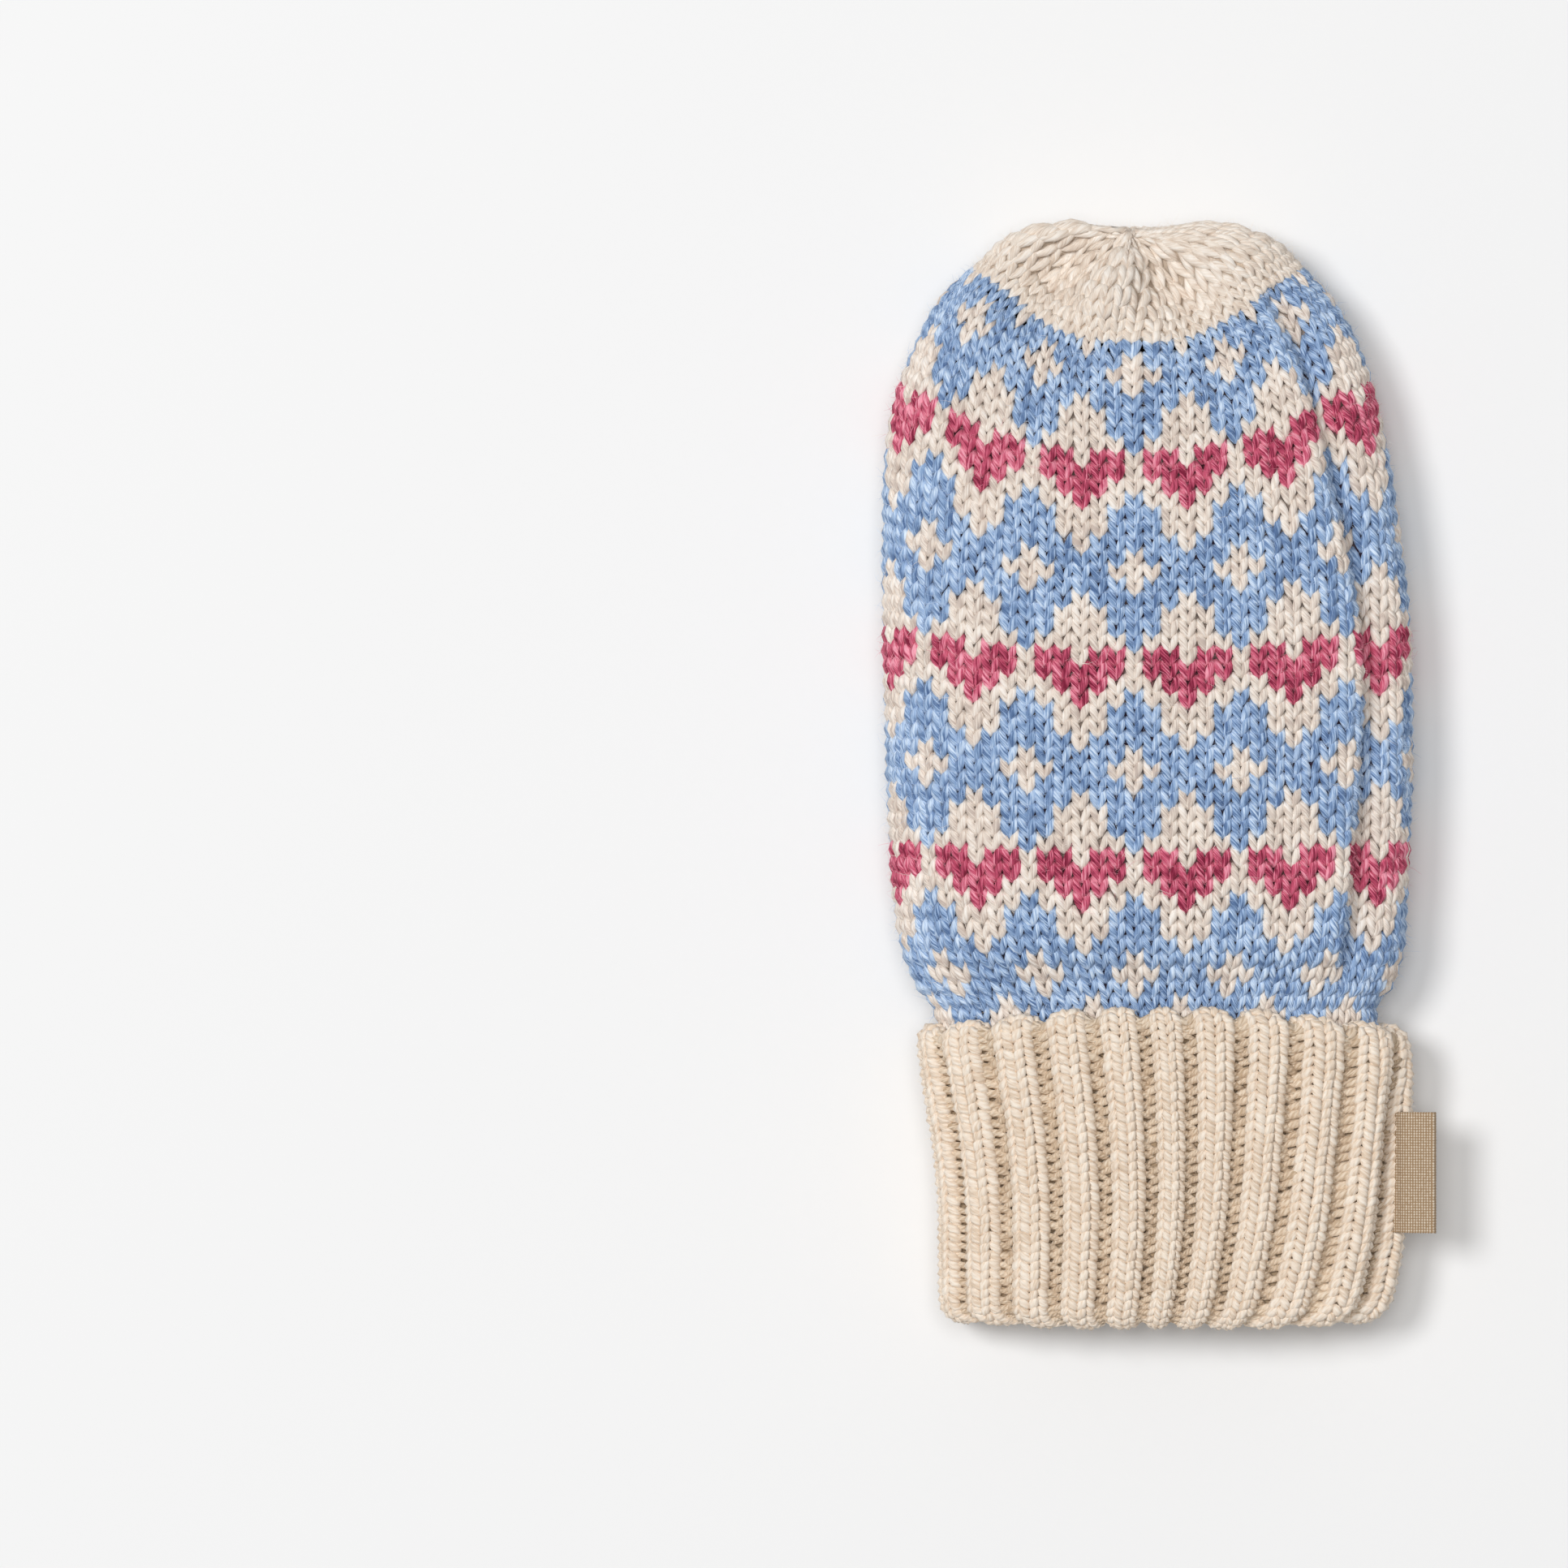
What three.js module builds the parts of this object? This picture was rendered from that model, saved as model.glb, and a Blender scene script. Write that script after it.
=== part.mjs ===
import * as THREE from 'three';

// A knitted wool mitten without a thumb, lying on its back face, fingertips towards +Y, its cuff
// turned up. Millimetres, +Z up. The origin is the middle of the flat underside that it rests on.

// Lengths along the mitten: turned cuff, patterned hand and plain gathered crown
const cuffHeight = 45.8;
const handLength = 93.8;
const crownLength = 15.6;

// Widths and heights of the lying mitten
const handWidth = 74.4;
const handThickness = 27;
const cuffWidth = 69.4;
const cuffThickness = 24.4;

// Knitted walls, ribs and the places where one piece meets the next
const handWall = 2.4;
const cuffWall = 2.8;
const ribCount = 24;
const ribDepth = 0.9;
const seamGap = 0.3;
const layerGap = 0.4;
const tuckLength = 7.2;

// How far the knitting at the sides and at the back runs ahead of the front near the crown
const sideRise = 11.4;
const backRise = 9.7;

// How far the underside is pressed flat by its own weight
const settle = 0.6;

// The cuff's free edge drops towards the sides, its fold is rounded at the corners, its ribs lean
// on the right half, and a groove marks the side seam
const edgeArch = 2.8;
const foldArch = 0.8;
const leanReach = 5.4;
const seamDepth = 1.3;

// The long crease of the right side
const creaseDepth = 1.9;

// Folded ribbon label in the side seam
const labelLength = 17;
const labelReach = 5.9;
const ribbonThickness = 0.45;
const ribbonGap = 0.3;
const labelHeight = 22.4;
const labelSeat = 0.6;
const labelTilt = 15;

// Stitches round the mitten, and how many of them lie on each half of its front
const stitchCount = 72;
const frontLeftStitches = 18.5;
const frontRightStitches = 18.2;
const ribStitches = stitchCount / ribCount;
const seamColumn = frontRightStitches - 2.2;

// Roundness of a section: 2 is an ellipse and more is boxier
const frontRoundness = 2.6;
const backRoundness = 3.2;

// Facets round each piece and along a quarter of a section
const handColumns = 60;
const columnsPerRib = 4;
const quarterSteps = 48;

const foldY = -(cuffHeight + handLength + crownLength) / 2;
const edgeY = foldY + cuffHeight;
const patternEndY = edgeY + handLength;

// Sections of the hand. at: share of handLength from the cuff's edge. side, back: shares of
// sideRise and backRise. left, right: shares of handWidth from the middle line. top, mid, low:
// levels of the front, the widest part and the back as shares of handThickness. spread: 1 spaces
// the stitches evenly, and less crowds them towards the sides.
const handSections = [
  { at: 0.03, side: 0, back: 0, left: 0.44, right: 0.465, top: 0.83, mid: 0.4, low: 0.1, spread: 1 },
  { at: 0.09, side: 0.04, back: 0, left: 0.474, right: 0.488, top: 0.94, mid: 0.385, low: 0.02, spread: 1 },
  { at: 0.196, side: 0.1, back: 0, left: 0.482, right: 0.495, top: 0.99, mid: 0.38, low: 0, spread: 1 },
  { at: 0.355, side: 0.14, back: 0, left: 0.49, right: 0.503, top: 1, mid: 0.378, low: 0, spread: 1 },
  { at: 0.504, side: 0.28, back: 0, left: 0.496, right: 0.5, top: 1, mid: 0.37, low: 0, spread: 1 },
  { at: 0.652, side: 0.52, back: 0.1, left: 0.498, right: 0.48, top: 0.985, mid: 0.37, low: 0, spread: 1 },
  { at: 0.748, side: 0.78, back: 0.2, left: 0.492, right: 0.455, top: 0.95, mid: 0.37, low: 0, spread: 0.98 },
  { at: 0.821, side: 0.89, back: 0.33, left: 0.472, right: 0.432, top: 0.905, mid: 0.37, low: 0, spread: 0.95 },
  { at: 0.885, side: 0.96, back: 0.5, left: 0.436, right: 0.401, top: 0.845, mid: 0.37, low: 0, spread: 0.9 },
  { at: 0.949, side: 1, back: 0.71, left: 0.391, right: 0.353, top: 0.78, mid: 0.37, low: 0.01, spread: 0.85 },
  { at: 1, side: 0.99, back: 0.98, left: 0.33, right: 0.302, top: 0.725, mid: 0.378, low: 0.05, spread: 0.82 },
];

// Sections of the crown, with at as a share of crownLength from the end of the pattern
const crownSections = [
  { at: 0.265, side: 0.94, back: 1, left: 0.271, right: 0.258, top: 0.69, mid: 0.41, low: 0.14, spread: 0.82 },
  { at: 0.522, side: 0.74, back: 0.79, left: 0.209, right: 0.194, top: 0.65, mid: 0.45, low: 0.26, spread: 0.84 },
  { at: 0.728, side: 0.5, back: 0.53, left: 0.145, right: 0.12, top: 0.61, mid: 0.48, low: 0.37, spread: 0.88 },
  { at: 0.89, side: 0.24, back: 0.25, left: 0.088, right: 0.042, top: 0.565, mid: 0.5, low: 0.45, spread: 0.94 },
  { at: 1, side: 0, back: 0, left: 0.04, right: -0.022, top: 0.53, mid: 0.52, low: 0.505, spread: 1 },
];

// Sections of the turned cuff. at: share of cuffHeight from the fold. left, right: shares of
// cuffWidth from the middle line. top, mid, low: levels as shares of cuffThickness.
const cuffSections = [
  { at: 0, left: 0.425, right: 0.5, top: 0.86, mid: 0.45, low: 0 },
  { at: 0.12, left: 0.428, right: 0.522, top: 0.9, mid: 0.45, low: 0 },
  { at: 0.35, left: 0.432, right: 0.528, top: 0.93, mid: 0.45, low: 0 },
  { at: 0.6, left: 0.442, right: 0.532, top: 0.96, mid: 0.45, low: 0 },
  { at: 0.85, left: 0.458, right: 0.537, top: 0.99, mid: 0.45, low: 0 },
  { at: 1, left: 0.463, right: 0.537, top: 1, mid: 0.45, low: 0 },
];

// Where the long crease runs: stitches from the middle line, by share of handLength
const creasePath = [
  { at: 0, column: 12 },
  { at: 0.3, column: 12.5 },
  { at: 0.48, column: 12.9 },
  { at: 0.74, column: 12 },
  { at: 1, column: 10.8 },
];

// Creases, hollows and swellings of the gathered end. column: stitches from the middle line. at:
// share of crownLength. wide, long: reach in stitches and as a share of crownLength. push: share
// of handWall, outwards, or inwards if negative.
const crownFolds = [
  { name: 'left crease', column: -5.6, at: 0.44, wide: 1.5, long: 0.31, push: -0.7 },
  { name: 'left hollow', column: -9.2, at: 0.34, wide: 3, long: 0.34, push: -0.95 },
  { name: 'left lobe', column: -15.5, at: 0.43, wide: 3.6, long: 0.4, push: 0.4 },
  { name: 'tongue', column: -1.8, at: 0.47, wide: 2, long: 0.29, push: 0.4 },
  { name: 'right crease', column: 2, at: 0.5, wide: 1.3, long: 0.27, push: -0.6 },
  { name: 'right hollow', column: 5, at: 0.36, wide: 2.6, long: 0.31, push: -0.75 },
  { name: 'right lobe', column: 12.5, at: 0.47, wide: 4, long: 0.37, push: 0.5 },
];

// How sharply a row of stitches turns up towards the side: more keeps the middle straighter
const riseBend = { frontLeft: 3.7, frontRight: 2.7, back: 4.5 };
const archBend = 3;

const smooth = (share) => {
  const t = Math.min(Math.max(share, 0), 1);
  return t * t * (3 - 2 * t);
};

const bell = (distance, reach) => Math.exp(-((distance / reach) ** 2));

// Value of one column of a table at a place, on a smooth curve that never overshoots
function tableValue(table, key, at) {
  const last = table.length - 1;
  const place = Math.min(Math.max(at, table[0].at), table[last].at);
  let i = 0;
  while (i < last - 1 && table[i + 1].at <= place) i += 1;
  const rise = (j) => (table[j + 1][key] - table[j][key]) / (table[j + 1].at - table[j].at);
  const slope = (j) => {
    if (j <= 0) return rise(0);
    if (j >= last) return rise(last - 1);
    const before = rise(j - 1);
    const after = rise(j);
    return before * after <= 0 ? 0 : (2 * before * after) / (before + after);
  };
  const span = table[i + 1].at - table[i].at;
  const t = (place - table[i].at) / span;
  const start = table[i][key] * (2 * t ** 3 - 3 * t ** 2 + 1) + slope(i) * span * (t ** 3 - 2 * t ** 2 + t);
  const end = table[i + 1][key] * (3 * t ** 2 - 2 * t ** 3) + slope(i + 1) * span * (t ** 3 - t ** 2);
  return start + end;
}

// A quarter of a rounded section, from its crest to its side, with the way along it
function quarterCurve(halfWidth, height, roundness) {
  const curve = { halfWidth, height, roundness, across: [0], up: [height], way: [0] };
  for (let i = 1; i <= quarterSteps; i += 1) {
    const angle = (i / quarterSteps) * (Math.PI / 2);
    const across = halfWidth * Math.sin(angle) ** (2 / roundness);
    const up = height * Math.max(Math.cos(angle), 0) ** (2 / roundness);
    curve.way.push(curve.way[i - 1] + Math.hypot(across - curve.across[i - 1], up - curve.up[i - 1]));
    curve.across.push(across);
    curve.up.push(up);
  }
  return curve;
}

// Point of a quarter at an even share of the way from its crest to its side
function quarterPoint({ across, up, way }, share) {
  const target = share * way[quarterSteps];
  let i = 1;
  while (i < quarterSteps && way[i] < target) i += 1;
  const t = (target - way[i - 1]) / (way[i] - way[i - 1]);
  return [across[i - 1] + t * (across[i] - across[i - 1]), up[i - 1] + t * (up[i] - up[i - 1])];
}

// A section in millimetres, drawn depth inside the outer face
function drawSection(section, depth) {
  const low = section.low > 0 ? section.low : -settle;
  const halfWidth = (section.left + section.right) / 2 - depth;
  return {
    ...section,
    depth,
    middle: (section.right - section.left) / 2,
    floor: Math.max(section.low, 0) + depth,
    frontCurve: quarterCurve(halfWidth, section.top - section.mid - depth, frontRoundness),
    backCurve: quarterCurve(halfWidth, section.mid - low - depth, backRoundness),
  };
}

// A point of a drawn section at a stitch column, with the direction that faces outwards there and
// the share of the way from the middle line to the side
function sectionPoint(drawn, column) {
  const place = column - stitchCount * Math.round(column / stitchCount);
  const right = place >= 0;
  const frontStitches = right ? frontRightStitches : frontLeftStitches;
  const front = Math.abs(place) <= frontStitches;
  const evenShare = front
    ? Math.abs(place) / frontStitches
    : (stitchCount / 2 - Math.abs(place)) / (stitchCount / 2 - frontStitches);
  const share = evenShare ** drawn.spread;
  const curve = front ? drawn.frontCurve : drawn.backCurve;
  const [across, up] = quarterPoint(curve, share);
  const side = right ? 1 : -1;
  const face = front ? 1 : -1;
  const steepX = side * (across / curve.halfWidth) ** (curve.roundness - 1) / curve.halfWidth;
  const steepZ = face * (up / curve.height) ** (curve.roundness - 1) / curve.height;
  const steep = Math.hypot(steepX, steepZ);
  return {
    x: drawn.middle + side * across,
    z: drawn.mid + face * up,
    outX: steepX / steep,
    outZ: steepZ / steep,
    place,
    right,
    front,
    share,
  };
}

// The cuff's section at a height above its fold
function cuffSection(height, depth) {
  const at = height / cuffHeight;
  return drawSection({
    height,
    y: foldY + height,
    left: tableValue(cuffSections, 'left', at) * cuffWidth,
    right: tableValue(cuffSections, 'right', at) * cuffWidth,
    top: tableValue(cuffSections, 'top', at) * cuffThickness,
    mid: tableValue(cuffSections, 'mid', at) * cuffThickness,
    low: tableValue(cuffSections, 'low', at) * cuffThickness,
    spread: 1,
  }, depth);
}

// The end of the hand that is tucked in the cuff follows the inside of the cuff's outer layer
function tuckedSection(height) {
  const inside = cuffWall + layerGap;
  const cuff = cuffSection(height, 0);
  return {
    at: (height - cuffHeight) / handLength,
    y: cuff.y,
    side: 0,
    back: 0,
    left: cuff.left - inside,
    right: cuff.right - inside,
    top: cuff.top - inside,
    mid: cuff.mid,
    low: cuff.floor + inside,
    spread: 1,
  };
}

const sized = (section, at, y) => ({
  at,
  y,
  side: section.side * sideRise,
  back: section.back * backRise,
  left: section.left * handWidth,
  right: section.right * handWidth,
  top: section.top * handThickness,
  mid: section.mid * handThickness,
  low: section.low * handThickness,
  spread: section.spread,
});

// All sections of the fabric from the seam in the cuff, at 0 at the cuff's edge, 1 at the end of
// the pattern and 2 at the gather
const fabricSections = [
  tuckedSection(cuffHeight - tuckLength),
  tuckedSection(cuffHeight),
  ...handSections.map((section) => sized(section, section.at, edgeY + section.at * handLength)),
  ...crownSections.map((section) => sized(section, 1 + section.at, patternEndY + section.at * crownLength)),
];

// The hand's or crown's section at a place, depth inside the fabric
function fabricSection(at, depth) {
  const section = { at };
  for (const key of ['y', 'side', 'back', 'left', 'right', 'top', 'mid', 'low', 'spread']) {
    section[key] = tableValue(fabricSections, key, at);
  }
  return drawSection(section, depth);
}

// How far the fabric is pushed outwards by the side crease and by the folds of the crown
function foldPush(column, at) {
  const creaseWidth = 1.1;
  const fadeShare = 0.07;
  const fade = smooth((at - 0.02) / fadeShare) * smooth((1.02 - at) / fadeShare);
  const crownPlace = at > 1 ? at - 1 : ((at - 1) * handLength) / crownLength;
  let push = -creaseDepth * fade * bell(column - tableValue(creasePath, 'column', at), creaseWidth);
  for (const fold of crownFolds) {
    const reach = bell(column - fold.column, fold.wide) * bell(crownPlace - fold.at, fold.long);
    push += fold.push * handWall * reach;
  }
  return push;
}

function fabricPoint(drawn, column) {
  const point = sectionPoint(drawn, column);
  const frontBend = point.right ? riseBend.frontRight : riseBend.frontLeft;
  const bend = point.front ? frontBend : riseBend.back;
  const sideShare = Math.sin((point.share * Math.PI) / 2) ** bend;
  const start = point.front ? 0 : drawn.back;
  const push = foldPush(point.place, drawn.at);
  return new THREE.Vector3(
    point.x + push * point.outX,
    drawn.y + start + (drawn.side - start) * sideShare - drawn.depth * smooth(drawn.at - 1),
    Math.max(point.z + push * point.outZ, drawn.floor),
  );
}

// How far the ribs lean at a column of the cuff, in stitches, where its right half is drawn in
function ribLean(column, height) {
  const place = 11;
  const span = 8;
  const stitchWidth = (2 * (cuffWidth + cuffThickness)) / stitchCount;
  return (leanReach / stitchWidth) * (1 - height / cuffHeight) * bell(column - place, span);
}

// A point of the cuff. rib: share of the ribs' depth. arch: share of the free edge's drop.
function cuffPoint(drawn, column, rib, arch) {
  const valleySharpness = 3;
  const seamWidth = 0.9;
  const foldSpan = cuffHeight / 4;
  const point = sectionPoint(drawn, column - ribLean(column, drawn.height));
  const valley = ((1 - Math.cos((2 * Math.PI * column) / ribStitches)) / 2) ** valleySharpness;
  const groove = seamDepth * bell(point.place - seamColumn, seamWidth);
  const push = -(ribDepth * valley + groove) * rib;
  const sideShare = Math.sin((point.share * Math.PI) / 2) ** archBend;
  const foldRise = foldArch * smooth(1 - drawn.height / foldSpan);
  const edgeDrop = edgeArch * arch * smooth(drawn.height / cuffHeight);
  return new THREE.Vector3(
    point.x + push * point.outX,
    drawn.y + (foldRise - edgeDrop) * sideShare,
    Math.max(point.z + push * point.outZ, drawn.floor),
  );
}

// A closed surface through rings of points. Two poles close its ends, and without them its last
// ring joins its first.
function loftRings(rings, poles) {
  const count = rings[0].length;
  const points = rings.flat();
  const faces = [];
  const joins = poles ? rings.length - 1 : rings.length;
  for (let r = 0; r < joins; r += 1) {
    const here = r * count;
    const next = ((r + 1) % rings.length) * count;
    for (let c = 0; c < count; c += 1) {
      const d = (c + 1) % count;
      faces.push(here + c, next + c, next + d);
      faces.push(here + c, next + d, here + d);
    }
  }
  if (poles) {
    const last = (rings.length - 1) * count;
    const startPole = points.push(...poles) - 2;
    for (let c = 0; c < count; c += 1) {
      const d = (c + 1) % count;
      faces.push(startPole, c, d);
      faces.push(startPole + 1, last + d, last + c);
    }
  }
  const geometry = new THREE.BufferGeometry();
  const positions = points.flatMap((point) => point.toArray());
  geometry.setAttribute('position', new THREE.Float32BufferAttribute(positions, 3));
  geometry.setIndex(faces);
  return geometry;
}

// Points at even stitch columns all round
function ringOf(count, makePoint) {
  return Array.from({ length: count }, (unused, i) => makePoint((i / count) * stitchCount));
}

function fabricRing(at, depth) {
  const drawn = fabricSection(at, depth);
  return ringOf(handColumns, (column) => fabricPoint(drawn, column));
}

function middleOf(ring) {
  const sum = ring.reduce((total, point) => total.add(point), new THREE.Vector3());
  return sum.multiplyScalar(1 / ring.length);
}

// Patterned hand: an open tube of fabric from the seam inside the cuff to the crown
function makeHand() {
  const tucked = fabricSections[0].at;
  const outer = [1, 0.95, 0.9, 0.85, 0.79, 0.72, 0.64, 0.56, 0.47, 0.38, 0.29, 0.2, 0.13, 0.08, 0.04, 0.015];
  const inner = [0, 0.04, 0.1, 0.22, 0.38, 0.54, 0.68, 0.8, 0.9, 1];
  return loftRings([
    ...outer.map((at) => fabricRing(at, 0)),
    fabricRing(0, 0),
    fabricRing(tucked / 2, 0),
    fabricRing(tucked, 0),
    fabricRing(tucked, handWall),
    ...inner.map((at) => fabricRing(at, handWall)),
  ]);
}

// Plain crown: a cap whose stitches are drawn together at the gather
function makeCrown() {
  const start = 1 + (1.2 * seamGap) / crownLength;
  const outer = [1.96, 1.88, 1.78, 1.66, 1.53, 1.39, 1.24, 1.1, start];
  const inner = [start, 1.2, 1.38];
  const rings = [
    ...outer.map((at) => fabricRing(at, 0)),
    ...inner.map((at) => fabricRing(at, handWall)),
  ];
  return loftRings(rings, [middleOf(fabricRing(2, 0)), middleOf(rings[rings.length - 1])]);
}

// Turned cuff: one ribbed band folded up on itself, its inner layer ending under the hand's seam
function makeCuff() {
  const inside = cuffWall + layerGap;
  const lining = inside + cuffWall;
  const foldRadius = lining / 2;
  const edge = cuffHeight;
  const edgeRound = 0.9;
  const seam = cuffHeight - tuckLength - seamGap;
  const profile = [
    { height: edge - edgeRound, depth: 0, rib: 1, arch: 1 },
    { height: edge * 0.8, depth: 0, rib: 1, arch: 1 },
    { height: edge * 0.6, depth: 0, rib: 1, arch: 1 },
    { height: edge * 0.4, depth: 0, rib: 1, arch: 1 },
    { height: edge * 0.2, depth: 0, rib: 1, arch: 1 },
    { height: foldRadius, depth: 0, rib: 1, arch: 1 },
    { height: foldRadius * 0.3, depth: foldRadius * 0.3, rib: 0.9, arch: 1 },
    { height: 0, depth: foldRadius, rib: 0.8, arch: 1 },
    { height: foldRadius * 0.3, depth: foldRadius * 1.7, rib: 0.6, arch: 0 },
    { height: foldRadius, depth: lining, rib: 0.5, arch: 0 },
    { height: edge * 0.35, depth: lining, rib: 0.5, arch: 0 },
    { height: edge * 0.6, depth: lining, rib: 0.5, arch: 0 },
    { height: seam, depth: lining, rib: 0.5, arch: 0 },
    { height: seam, depth: inside, rib: 0, arch: 0 },
    { height: edge * 0.45, depth: inside, rib: 0, arch: 0 },
    { height: foldRadius, depth: inside, rib: 0, arch: 0 },
    { height: foldRadius, depth: cuffWall, rib: 0, arch: 0 },
    { height: edge * 0.45, depth: cuffWall, rib: 0, arch: 1 },
    { height: seam, depth: cuffWall, rib: 0, arch: 1 },
    { height: edge - edgeRound, depth: cuffWall, rib: 0, arch: 1 },
    { height: edge, depth: cuffWall * 0.65, rib: 0.3, arch: 1 },
    { height: edge, depth: cuffWall * 0.35, rib: 0.7, arch: 1 },
  ];
  return loftRings(profile.map((step) => {
    const drawn = cuffSection(step.height, step.depth);
    return ringOf(ribCount * columnsPerRib, (column) => cuffPoint(drawn, column, step.rib, step.arch));
  }));
}

// Label: a ribbon folded in half, its two ends at the origin and its fold towards +X
function makeLabel() {
  const innerRadius = ribbonGap / 2;
  const outerRadius = innerRadius + ribbonThickness;
  const straight = labelReach - outerRadius;
  const outline = new THREE.Shape();
  outline.moveTo(0, -outerRadius);
  outline.lineTo(straight, -outerRadius);
  outline.absarc(straight, 0, outerRadius, -Math.PI / 2, Math.PI / 2, false);
  outline.lineTo(0, outerRadius);
  outline.lineTo(0, innerRadius);
  outline.lineTo(straight, innerRadius);
  outline.absarc(straight, 0, innerRadius, Math.PI / 2, -Math.PI / 2, true);
  outline.lineTo(0, -innerRadius);
  outline.closePath();
  const geometry = new THREE.ExtrudeGeometry(outline, { depth: labelLength, bevelEnabled: false, curveSegments: 6 });
  geometry.rotateX(Math.PI / 2);
  geometry.translate(0, labelLength / 2, 0);
  return geometry;
}

function knitted(name, geometry, color) {
  const material = new THREE.MeshStandardMaterial({ color, roughness: 0.95, metalness: 0 });
  const mesh = new THREE.Mesh(geometry, material);
  mesh.name = name;
  return mesh;
}

const mitten = new THREE.Group();
mitten.add(knitted('hand', makeHand(), 0x88a8d8));
mitten.add(knitted('crown', makeCrown(), 0xdfd2c0));
mitten.add(knitted('cuff', makeCuff(), 0xe2ccb2));

// The label stands out from the bottom of the seam's groove
const label = knitted('label', makeLabel(), 0xcdb68c);
const seamPoint = sectionPoint(cuffSection(labelHeight, 0), seamColumn);
const rootOut = labelSeat - seamDepth;
label.position.set(
  seamPoint.x + rootOut * seamPoint.outX,
  foldY + labelHeight,
  seamPoint.z + rootOut * seamPoint.outZ,
);
label.rotation.y = -THREE.MathUtils.degToRad(labelTilt);
mitten.add(label);

export default mitten;
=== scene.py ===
import math

import bpy
import numpy as np
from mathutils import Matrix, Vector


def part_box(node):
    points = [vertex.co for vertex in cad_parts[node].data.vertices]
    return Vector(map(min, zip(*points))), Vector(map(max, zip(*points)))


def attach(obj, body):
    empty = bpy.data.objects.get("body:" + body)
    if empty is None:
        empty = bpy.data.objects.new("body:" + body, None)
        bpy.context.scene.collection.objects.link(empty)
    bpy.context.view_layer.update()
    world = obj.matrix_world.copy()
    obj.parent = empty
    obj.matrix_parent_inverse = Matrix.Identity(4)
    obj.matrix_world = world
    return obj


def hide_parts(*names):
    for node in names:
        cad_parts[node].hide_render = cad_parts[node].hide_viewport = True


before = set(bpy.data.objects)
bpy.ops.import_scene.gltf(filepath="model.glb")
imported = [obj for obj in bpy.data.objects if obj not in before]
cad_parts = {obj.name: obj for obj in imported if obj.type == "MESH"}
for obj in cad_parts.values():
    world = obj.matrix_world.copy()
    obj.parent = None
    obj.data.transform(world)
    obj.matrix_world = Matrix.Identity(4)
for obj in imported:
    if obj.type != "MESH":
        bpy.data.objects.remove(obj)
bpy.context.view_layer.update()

# A knitted wool mitten without a thumb, lying on its back face, fingertips towards +Y, its cuff
# turned up. Metres, +Z up. Every stitch is a pair of yarn legs laid on the mitten's own surface.

MM = 0.001

# Lengths along the mitten, with the cuff's taken from its own box
FOLD_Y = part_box("cuff")[0].y
EDGE_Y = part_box("cuff")[1].y
CUFF_HEIGHT = EDGE_Y - FOLD_Y
HAND_LENGTH = 93.8 * MM
CROWN_LENGTH = 15.6 * MM
PATTERN_END_Y = EDGE_Y + HAND_LENGTH

# Widths and heights of the lying mitten
HAND_WIDTH = 74.4 * MM
HAND_THICKNESS = 27 * MM
CUFF_WIDTH = 69.4 * MM
CUFF_THICKNESS = 24.4 * MM

# Knitted walls, ribs and the places where one piece meets the next
HAND_WALL = 2.4 * MM
CUFF_WALL = 2.8 * MM
RIB_COUNT = 24
RIB_DEPTH = 2.2 * MM
RIB_SHARPNESS = 2.2
LAYER_GAP = 0.4 * MM
TUCK_LENGTH = 7.2 * MM
SNUG_SIDE = 1.6 * MM
SNUG_FRONT = 0.8 * MM
SIDE_RISE = 11.4 * MM
BACK_RISE = 9.7 * MM
SETTLE = 0.6 * MM
EDGE_ARCH = 2.8 * MM
FOLD_ARCH = 0.8 * MM
SEAM_DEPTH = 1.4 * MM
CREASE_DEPTH = 3.1 * MM

# Stitches round the mitten, and how many of them lie on the left and right half of its front
STITCH_COUNT = 72
STITCH_WIDTH = 2.4 * MM
HAND_FRONT = (18.0, 18.2)
CUFF_FRONT = (16.1, 15.5)
CUFF_SPREAD = 1.08
RIB_STITCHES = STITCH_COUNT / RIB_COUNT
SEAM_COLUMN = 4.5 * RIB_STITCHES

# Roundness of a section: 2 is an ellipse and more is boxier
FRONT_ROUNDNESS = 2.6
BACK_ROUNDNESS = 3.2
QUARTER_STEPS = 64

# Sections of the hand. at: share of HAND_LENGTH from the cuff's edge. side, back: shares of
# SIDE_RISE and BACK_RISE. left, right: shares of HAND_WIDTH from the middle line. top, mid, low:
# levels of the front, the widest part and the back as shares of HAND_THICKNESS. spread: 1 spaces
# the stitches evenly, and less crowds them towards the sides.
HAND_COLUMNS = ("at", "side", "back", "left", "right", "top", "mid", "low", "spread")
HAND_SECTIONS = [
    (0.03, 0, 0, 0.434, 0.465, 0.83, 0.4, 0.1, 1),
    (0.09, 0.04, 0, 0.464, 0.488, 0.94, 0.385, 0.02, 1),
    (0.196, 0.1, 0, 0.482, 0.495, 0.99, 0.38, 0, 1),
    (0.355, 0.14, 0, 0.49, 0.503, 1, 0.378, 0, 1),
    (0.504, 0.28, 0, 0.496, 0.5, 1, 0.37, 0, 1),
    (0.652, 0.52, 0.1, 0.498, 0.48, 0.985, 0.37, 0, 1),
    (0.748, 0.78, 0.2, 0.492, 0.455, 0.95, 0.37, 0, 0.98),
    (0.821, 0.89, 0.33, 0.472, 0.432, 0.905, 0.37, 0, 0.95),
    (0.885, 0.96, 0.5, 0.436, 0.401, 0.845, 0.37, 0, 0.9),
    (0.949, 1, 0.71, 0.391, 0.353, 0.78, 0.37, 0.01, 0.85),
    (1, 0.96, 0.98, 0.326, 0.298, 0.725, 0.378, 0.05, 0.82),
]

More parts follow.
